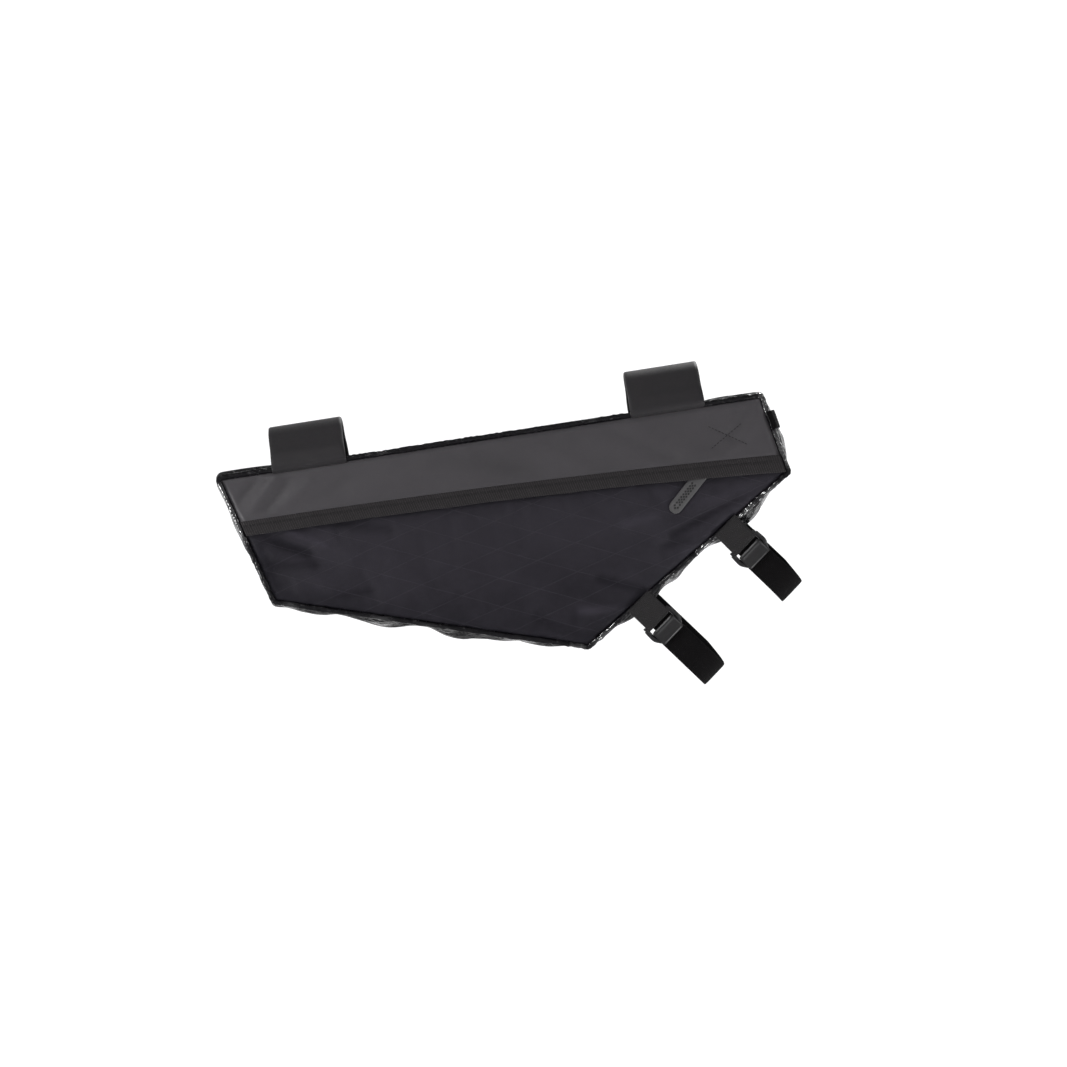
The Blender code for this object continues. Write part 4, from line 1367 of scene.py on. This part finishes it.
# Crumples: edge, place along it, reach, depth and place across from the near seam
gussetCrumples = [
    (frontEdge, 0.30, 0.16, -0.020, 0.35), (frontEdge, 0.72, 0.14, 0.016, 0.60),
    (frontLowerEdge, 0.10, 0.14, -0.030, 0.30), (frontLowerEdge, 0.20, 0.12, 0.026, 0.25),
    (frontLowerEdge, 0.42, 0.16, -0.034, 0.30), (frontLowerEdge, 0.58, 0.14, 0.028, 0.35),
    (frontLowerEdge, 0.88, 0.14, -0.028, 0.40), (bottomEdge, 0.20, 0.20, -0.022, 0.30),
    (bottomEdge, 0.42, 0.26, 0.046, 0.42), (bottomEdge, 0.53, 0.18, -0.030, 0.35),
    (bottomEdge, 0.65, 0.24, 0.042, 0.40), (bottomEdge, 0.80, 0.20, -0.026, 0.30),
    (rearEdge, 0.30, 0.16, -0.024, 0.35), (rearEdge, 0.66, 0.14, 0.018, 0.60),
]


def gussetPoints(places, normals, edges, shares, across, halfWidth=None):
    sizes = outlineEdges()[3]
    width = bag["seamWidth"]
    half = halfWidth or width / 2 - piping["radius"] + 0.0006
    side = 2 * across - 1
    out = np.zeros((len(places), len(across)))
    for edge, swell in gussetSwell.items():
        corners = gusset["cornerSwell"]
        stops = np.array([corners[edge], *swell, corners[(edge + 1) % 5]])
        here = edges == edge
        place = shares[here] * 4
        index = np.minimum(place.astype(int), 3)
        ease = (1 - np.cos(pi * (place - index))) / 2
        out[here] = (stops[index] * (1 - ease) + stops[index + 1] * ease)[:, None] * width
    out *= 1 - np.abs(side)[None, :] ** 2.4
    fade = (1 - side * side)[None, :] * np.sin(pi * shares)[:, None] ** 0.5
    for edge, place, reach, depth, rowAcross in gussetCrumples:
        here = (edges == edge)[:, None]
        along = ((shares - place) * sizes[edge] / (reach * width))[:, None]
        over = ((across - rowAcross) / gusset["crumpleSpan"])[None, :]
        out += here * depth * width * np.exp(-along ** 2 - over ** 2) * fade
    return besideSeam(places, normals, out, side[None, :] * half)


def underTube(points):
    # The tube presses the top of the bag down where they meet
    reach = bag["topTubeRadius"] + bag["tubeClearance"]
    y = points[..., 1]
    limit = -np.sqrt(np.maximum(reach * reach - y * y, 0.0))
    return np.where((np.abs(y) < reach) & (points[..., 2] > limit), limit, points[..., 2])


tab = {
    "width": 0.0135,
    "share": 0.33,              # place along the front edge
    "thickness": 0.0012,
    "ease": 0.0008,
    "step": 0.0012,
}


def makeGusset():
    places, normals, edges, shares = seamPath(gusset["step"])
    across = (1 - np.cos(np.linspace(0.12, pi - 0.12, gusset["rows"])))
    across = (across - across[0]) / (across[-1] - across[0])
    points = gussetPoints(places, normals, edges, shares, across)
    points += np.stack([normals[:, 0], np.zeros(len(normals)), normals[:, 1]],
                       axis=1)[:, None, :] * (bag["wall"] / 2 * (4 * across * (1 - across))
                                              ** 0.5)[None, :, None]
    points[..., 2] = underTube(points)
    count, rows = points.shape[:2]
    gaps = np.linalg.norm(np.roll(places, -1, axis=0) - places, axis=1)
    run = np.concatenate([[0.0], np.cumsum(gaps)[:-1]])
    uv = np.stack([np.broadcast_to(run[:, None], (count, rows)), points[..., 1]], axis=-1)
    piece = makePiece("seamGusset", points.reshape(-1, 3), gridFaces(count, rows, True),
                      gussetFabric, uv.reshape(-1, 2))
    first = piece.data.polygons[rows // 2]
    way = turned((normals[0][0], 0.0, normals[0][1]))
    if float(np.dot(np.array(first.normal), way)) < 0:
        piece.data.flip_normals()
    mark(piece, "shine", np.repeat(shineAlong(edges, shares), rows))
    number = np.arange(count * rows).reshape(count, rows)
    pinned = np.concatenate([number[:, 0], number[:, -1]])
    # The cloth lies nearly still under the tab
    sizes = outlineEdges()[3]
    nearTab = np.abs(shares - tab["share"]) * sizes[frontEdge] < tab["width"] / 2 + 0.004
    ease = np.where((edges == frontEdge) & nearTab, 0.12, 1.0)[:, None]
    ease = ease * np.array(gusset["settle"])[edges][:, None]
    ease = np.broadcast_to(ease, (count, rows)).ravel()
    settleCloth(piece, pinned, gusset["growth"], gusset["pressure"], gusset["frames"],
                gusset["cap"], ease)
    keepUnderTube(piece)
    finishCloth(piece, gusset["thickness"])
    dress(piece, "gusset_fabric", "gusset")


def keepUnderTube(piece):
    own = turnBy(readPoints(piece.data), -radians(bag["slope"]))
    own[:, 2] = underTube(own)
    writePoints(piece.data, turned(own))


def makeTab():
    starts, onward, outward, sizes = outlineEdges()
    start, way, out, size = (part[frontEdge] for part in (starts, onward, outward, sizes))
    overPiping = piping["radius"] + bag["layerGap"] + tab["thickness"] / 2
    overGusset = bag["wall"] / 2 + bag["layerGap"] + tab["thickness"] / 2 + tab["ease"]
    centre = start + way * size * tab["share"]
    line = []
    for turn in np.radians([104, 95, 80, 65, 50, 35]):
        line.append((overPiping * cos(turn), -bag["seamWidth"] / 2 - overPiping * sin(turn)))
    middle = gussetPoints(np.array([centre]), np.array([out]), np.array([frontEdge]),
                          np.array([tab["share"]]), np.linspace(0.10, 0.90, 17),
                          bag["seamWidth"] / 2 - piping["radius"] - bag["layerGap"])[0]
    for point in middle:
        rise = float(np.dot(point[[0, 2]] - centre, out))
        line.append((rise + overGusset, float(point[1])))
    line += [(rise, -y) for rise, y in line[5::-1]]
    path, _run = evenly(line, tab["step"])
    place = centre[None, :] + out[None, :] * path[:, 0:1]
    path = np.stack([place[:, 0], path[:, 1], place[:, 1]], axis=1)
    sideways = (way[0], 0.0, way[1])
    normal = unit(np.cross(tangents(path), sideways))
    normal *= np.where(normal @ np.array([out[0], 0.0, out[1]]) < 0, -1.0, 1.0)[:, None]
    piece = sweep("frontTab", path, sideways, normal, flatSection(tab["thickness"], edgeBead),
                  tab["width"] / 2, webbingBelow)
    dress(piece, "webbing", "front_tab")


makeGusset()
makeTab()
print("gusset and front tab made")


# Straps: a section that goes from the near seam, over the piping and round the tube

def seamToTube(seamX, tubeX, bend, radius, lap):
    # Points (x, y), x away from the bag; with the lean of the straight run's outward normal
    seamY = bag["seamWidth"] / 2
    lean = acos((radius - bend) / hypot(seamX - tubeX, seamY)) + atan2(-seamY, seamX - tubeX)
    points = [(seamX - lap, -seamY - bend)]
    for turn in np.linspace(-pi / 2, lean, 7):
        points.append((seamX + bend * cos(turn), -seamY + bend * sin(turn)))
    startOfRun = points[-1]
    for turn in np.linspace(lean, 0.0, 25):
        points.append((tubeX + radius * cos(turn), radius * sin(turn)))
    return np.array(points), lean, startOfRun


def layeredSection(count=23):
    # Two layers of cloth with a groove between their edges, one unit thick in all
    across = np.cos(np.linspace(pi, 0.0, count))
    rim = np.maximum(1 - np.abs(across) ** 60, 0.0) ** 0.5
    top = np.stack([across, 0.08 + 0.42 * rim], axis=1)
    groove = np.array([[0.988, 0.0]])
    under = np.stack([across[::-1], -0.08 - 0.42 * rim[::-1]], axis=1)
    return np.concatenate([top, groove, under, -groove])


topStrap = {
    "width": 0.0532,
    "thickness": 0.0042,        # hook and loop, one on the other
    "rootThickness": 0.0010,    # where it goes into the seam with the band
    "rootRun": 0.016,
    "rootDip": 0.0024,
    "rearInset": 0.0660,        # from the bag's top corners
    "frontInset": 0.0674,
    "lap": 0.0030,
    "waist": 0.004,             # share by which the width wavers
    "step": 0.0010,
}


def makeTopStrap(name, node, centreX):
    # Its inner face follows the piping and the tube, and its thickness grows from the roots
    half, _lean, _start = seamToTube(downToZ(0.0), 0.0, piping["radius"] + bag["layerGap"],
                                     bag["topTubeRadius"] + bag["tubeClearance"],
                                     topStrap["lap"])
    half[0, 1] += topStrap["rootDip"]
    whole = np.concatenate([half, [(z, -y) for z, y in half[-2::-1]]])
    line, run = evenly(whole, topStrap["step"])
    inner = np.stack([np.full(len(line), centreX), line[:, 1], line[:, 0]], axis=1)
    sideways = (1.0, 0.0, 0.0)
    normal = unit(np.cross(sideways, tangents(inner)))
    if normal[len(inner) // 2][2] < 0:
        normal = -normal
    fromRoot = np.minimum(run, run[-1] - run)
    grown = eased(np.clip(fromRoot / topStrap["rootRun"], 0.0, 1.0))
    thickness = topStrap["rootThickness"] + grown * (topStrap["thickness"]
                                                     - topStrap["rootThickness"])
    path = inner + normal * thickness[:, None] / 2
    waist = 1 + topStrap["waist"] * (np.sin(run * 260.0) - np.sin(pi * run / run[-1]))
    piece = sweep(name, path, sideways, normal, layeredSection(),
                  topStrap["width"] / 2 * waist, coatedStrap, fullness=thickness)
    dress(piece, "coated_band", node)


makeTopStrap("topStrapRear", "top_strap_rear", alongToX(bagCorners[0][0]) + topStrap["rearInset"])
makeTopStrap("topStrapFront", "top_strap_front",
             alongToX(bagCorners[1][0]) - topStrap["frontInset"])
print("top straps made")


webbing = {
    "width": 0.0207,
    "thickness": 0.0014,
    "lean": 2.2,                # degrees from square to the down tube
    "farShift": 0.005,          # how far the strap drifts along the tube on its way back
    "tailLength": 0.0200,
    "step": 0.0009,
}
adjuster = {
    "plateLength": 0.0126,
    "plateWidth": 0.0200,
    "plateThickness": 0.0034,
    "gap": 0.0016,
    "railRadius": 0.0012,
    "railBow": 0.0008,
    "railFlange": 0.45,
    "railStep": 0.0007,
    "rimHeight": 0.0005,
}
# Each down tube strap: place, share along the front lower edge, gap from seam to tube
tubeStraps = [("Upper", 0.312, 0.0237), ("Lower", 0.744, 0.0321)]


def turnStrapWay(ways):
    # The strap's own frame runs +X away from the bag, nearly square to the down tube
    return turnBy(ways, radians(bag["downTubeAngle"]) - radians(webbing["lean"]) - pi / 2)


def fromStrapFrame(points, edgeShare):
    starts, onward, _outward, sizes = outlineEdges()
    root = starts[frontLowerEdge] + onward[frontLowerEdge] * sizes[frontLowerEdge] * edgeShare
    return turnStrapWay(points) + np.array([root[0], 0.0, root[1]])


def layWebbing(name, node, line, edgeShare, finish):
    # line holds (x, y, z shift) in the strap's own frame
    line, _run = evenly(line, webbing["step"])
    path = fromStrapFrame(line, edgeShare)
    sideways = turnStrapWay((0.0, 0.0, 1.0))
    normal = unit(np.cross(tangents(path), sideways))
    piece = sweep(name, path, sideways, normal, flatSection(webbing["thickness"], edgeBead, 11),
                  webbing["width"] / 2, finish)
    dress(piece, "webbing", node)


def makeTubeStrap(place, edgeShare, tubeGap):
    tubeX = tubeGap + bag["downTubeRadius"]
    thick = webbing["thickness"]
    bend = piping["radius"] + bag["layerGap"] + thick / 2
    radius = bag["downTubeRadius"] + bag["tubeClearance"] + thick / 2
    half, lean, start = seamToTube(0.0, tubeX, bend, radius, piping["radius"] * 0.9)
    way = np.array([-sin(lean), cos(lean)])
    inward = np.array([-way[1], way[0]])
    low = place.lower()

    # The tail: out from the seam, round the adjuster's bar and back under itself
    barBend = adjuster["railRadius"] + bag["layerGap"] + thick / 2
    run = webbing["tailLength"] - barBend - thick / 2
    tail = [(x, y, 0.0) for x, y in half[:8]]
    turnPoint = np.array(start) + way * run
    tail.append((*turnPoint, 0.0))
    bar = turnPoint + inward * barBend
    for turn in np.linspace(0.0, pi, 13)[1:]:
        spot = bar + way * barBend * sin(turn) - inward * barBend * cos(turn)
        tail.append((*spot, 0.0))
    last = np.array(tail[-1][:2])
    tail.append((*(last - way * run * 0.42), 0.0))
    layWebbing("strapTail" + place, "strap_tail_" + low, tail, edgeShare, webbingTail)

    # From behind the plate, round the tube and back to the far seam
    behind = adjuster["plateThickness"] / 2 + bag["layerGap"] + thick / 2
    path = []
    for share in (0.2, 1.0):
        reach = webbing["tailLength"] + adjuster["gap"] + adjuster["plateLength"] * share
        path.append((*(np.array(start) + way * reach + inward * behind), 0.0))
    path += [(x, y, 0.0) for x, y in half[10:]]
    farHalf = half[-2::-1]
    for index, (x, y) in enumerate(farHalf):
        path.append((x, -y, webbing["farShift"] * (index + 1) / len(farHalf)))
    layWebbing("tubeStrap" + place, "tube_strap_" + low, path, edgeShare, webbingBelow)
    makeAdjuster(place, edgeShare, np.array(start), way, inward, barBend)


def smoothLine(points, step):
    # A rounded line through a few points
    points = np.array(points, dtype=float)
    before = np.concatenate([[2 * points[0] - points[1]], points, [2 * points[-1] - points[-2]]])
    line = []
    for index in range(1, len(before) - 2):
        a, b, c, d = before[index - 1:index + 3]
        for t in np.linspace(0.0, 1.0, 12, endpoint=False):
            line.append(0.5 * (2 * b + (c - a) * t + (2 * a - 5 * b + 4 * c - d) * t * t
                               + (3 * b - a - 3 * c + d) * t ** 3))
    line.append(points[-1])
    return evenly(np.array(line), step)[0]


def makeAdjuster(place, edgeShare, start, way, inward, barBend):
    length, width, thick = (adjuster[key] for key in ("plateLength", "plateWidth",
                                                      "plateThickness"))
    middle = webbing["tailLength"] + adjuster["gap"] + length / 2

    def inStrap(points):
        # (reach, height behind, side) to the strap's own frame
        points = np.asarray(points, dtype=float)
        flat = (start[None, :] + way[None, :] * (middle + points[:, 0:1])
                + inward[None, :] * points[:, 1:2])
        return np.stack([flat[:, 0], flat[:, 1], points[:, 2]], axis=1)

    # The plate: rounded, with a raised rim along the edge that faces the bag
    sides = np.linspace(-1.0, 1.0, 25)
    reaches = np.cos(np.linspace(pi, 0.0, 25))
    rim = adjuster["rimHeight"] * np.exp(-((reaches + 0.70) / 0.16) ** 2)
    rim += adjuster["rimHeight"] * 0.5 * np.exp(-((reaches - 0.78) / 0.14) ** 2)
    rim *= np.abs(reaches) < 0.999
    rounded = np.maximum(1 - np.abs(reaches) ** 6, 0) ** 0.5
    section = closedSection(reaches, (adjuster["rimHeight"] - thick / 2) * rounded - rim,
                            thick / 2 * rounded)
    rings = []
    for side in sides:
        shrink = max(1 - abs(side) ** 8, 0.02) ** 0.5
        ring = np.stack([section[:, 0] * length / 2 * (0.86 + 0.14 * shrink),
                         section[:, 1] * shrink,
                         np.full(len(section), side * width / 2)], axis=1)
        rings.append(ring)
    rings = np.array(rings)
    platePoints = fromStrapFrame(inStrap(rings.reshape(-1, 3)), edgeShare)
    piece = makePiece("adjuster" + place, platePoints, tubeFaces(*rings.shape[:2]),
                      bucklePlastic)
    faceOutward(piece)
    dress(piece, "buckle_plastic", "adjuster_" + place.lower())

    # Two bowed rails carry the bar that the tail goes round
    barReach = webbing["tailLength"] - barBend - webbing["thickness"] / 2 - middle
    railSide = webbing["width"] / 2 + bag["layerGap"] + adjuster["railRadius"]
    bow = adjuster["railBow"]
    half = [
        (length * 0.30, width / 2 - adjuster["railRadius"] * 0.9),
        (length * 0.14, width / 2 + bow * 0.45),
        (length * -0.14, railSide + bow * 0.42),
        (length * -0.44, railSide + bow * 0.50),
        (barReach * 0.82, railSide + bow * 0.22),
        (barReach * 0.97, railSide * 0.99),
        (barReach, railSide * 0.93),
    ]
    points = []
    for reach, side in half + [(reach, -side) for reach, side in reversed(half)]:
        back = barBend if reach < -length / 2 else barBend * (length / 2 - reach) / length
        points.append((reach, back, side))
    line = smoothLine(points, adjuster["railStep"])
    # The rails are broader in the plate's plane, towards the plate
    atSide = np.clip(np.abs(line[:, 2]) / railSide, 0.0, 1.0) ** 6
    broad = 1 + adjuster["railFlange"] * atSide
    halfWidths = adjuster["railRadius"] * broad
    line[:, 2] -= np.sign(line[:, 2]) * adjuster["railRadius"] * (broad - 1)
    path = fromStrapFrame(inStrap(line), edgeShare)
    along = tangents(path)
    sideways = unit(np.cross(along, turnStrapWay((*inward, 0.0))))
    outward = unit(np.cross(sideways, along))
    rails = sweep("rails" + place, path, sideways, outward,
                  roundSection(1.0) * np.array([1.0, adjuster["railRadius"]]), halfWidths,
                  bucklePlastic)
    dress(rails, "buckle_plastic")


for strap in tubeStraps:
    makeTubeStrap(*strap)
print("down tube straps made")


# The studio

studio = {
    "floorDrop": 0.42,          # below the origin
    "floorRadius": 3.4,
    "bowlRadius": 1.2,
    "wallHeight": 2.6,
    "floorTone": (0.70, 0.70, 0.705),
    "wallTone": (0.94, 0.94, 0.945),
    "glow": 0.25,
    "worldStrength": 0.56,
}
bagMiddle = (0.02, 0.0, -0.07)
# Each light: name, place, what it faces, size and power; the last two run along the seams
lights = [
    ("keyLight", (-1.2, -1.5, 1.3), bagMiddle, 0.28, 30.0),
    ("fillLight", (1.7, -1.3, 0.4), bagMiddle, 0.22, 10.0),
    ("rimLight", (0.5, 1.2, 1.3), bagMiddle, 0.30, 26.0),
    ("rearLight", (-0.88, -0.34, -0.37), (-0.18, 0.0, -0.08), 0.14, 8.0),
    ("frontLight", (0.42, -0.20, -0.40), (0.12, 0.0, -0.12), 0.08, 1.9),
]


def makeStage():
    # One pale floor that curves up all round, so every view has the same plain ground
    floorZ = -studio["floorDrop"]
    profile = [(0.6, floorZ), (1.6, floorZ), (studio["floorRadius"], floorZ)]
    for turn in np.linspace(0.0, pi / 2, 13)[1:]:
        profile.append((studio["floorRadius"] + studio["bowlRadius"] * sin(turn),
                        floorZ + studio["bowlRadius"] * (1 - cos(turn))))
    profile.append((studio["floorRadius"] + studio["bowlRadius"], floorZ + studio["wallHeight"]))
    turns = np.linspace(0.0, 2 * pi, 96, endpoint=False)
    rings = np.array([[(radius * cos(turn), radius * sin(turn), z) for turn in turns]
                      for radius, z in profile])
    points = [(0.0, 0.0, floorZ)] + rings.reshape(-1, 3).tolist()
    faces = (gridFaces(len(profile), len(turns), False, True) + 1).tolist()
    faces += [[0, 1 + index, 1 + (index + 1) % len(turns)] for index in range(len(turns))]
    floor = newPiece("studioFloor", points, [], faces)
    floor.data.shade_smooth()
    finish = Finish("paleFloor", Roughness=0.85, Specular_IOR_Level=0.1)
    where = finish.add("ShaderNodeSeparateXYZ",
                       {0: finish.add("ShaderNodeTexCoord").at("Object")})
    rise = finish.smooth(where.at(2), floorZ, floorZ + 0.9)
    away = (where.at(0) * where.at(0) + where.at(1) * where.at(1)) ** 0.5
    away = finish.smooth(away, 0.5, 2.9)
    finish.feed("Base Color", finish.blend(rise.larger(away), studio["floorTone"],
                                           studio["wallTone"]))
    finish.feed("Emission Color", (1.0, 1.0, 1.0, 1.0))
    finish.feed("Emission Strength", studio["glow"])
    floor.data.materials.append(finish.material)
    faceOutward(floor)


def addLight(name, place, target, size, power):
    light = bpy.data.lights.new(name, "AREA")
    light.shape, light.size, light.energy = "SQUARE", size, power
    lamp = bpy.data.objects.new(name, light)
    lamp.location = place
    way = np.array(target, dtype=float) - np.array(place, dtype=float)
    lamp.rotation_euler = (atan2(hypot(way[0], way[1]), -way[2]), 0.0,
                           atan2(way[1], way[0]) - pi / 2)
    bpy.context.scene.collection.objects.link(lamp)


makeStage()
for light in lights:
    addLight(*light)
world = bpy.data.worlds.new("paleSky")
world.use_nodes = True
sky = world.node_tree.nodes["Background"]
sky.inputs["Color"].default_value = (1.0, 1.0, 1.0, 1.0)
sky.inputs["Strength"].default_value = studio["worldStrength"]
bpy.context.scene.world = world
bpy.context.scene.view_settings.view_transform = "Standard"

camera = {
    "place": (0.0337, -2.83, -0.0799),
    "lens": 133.0,
    "sensor": 36.0,
}
lens = bpy.data.cameras.new("photoCamera")
lens.lens, lens.sensor_width, lens.sensor_fit = camera["lens"], camera["sensor"], "HORIZONTAL"
lens.clip_end = 50.0
viewer = bpy.data.objects.new("photoCamera", lens)
viewer.location = camera["place"]
viewer.rotation_euler = (pi / 2, 0.0, 0.0)
bpy.context.scene.collection.objects.link(viewer)
bpy.context.scene.camera = viewer
print("studio set")
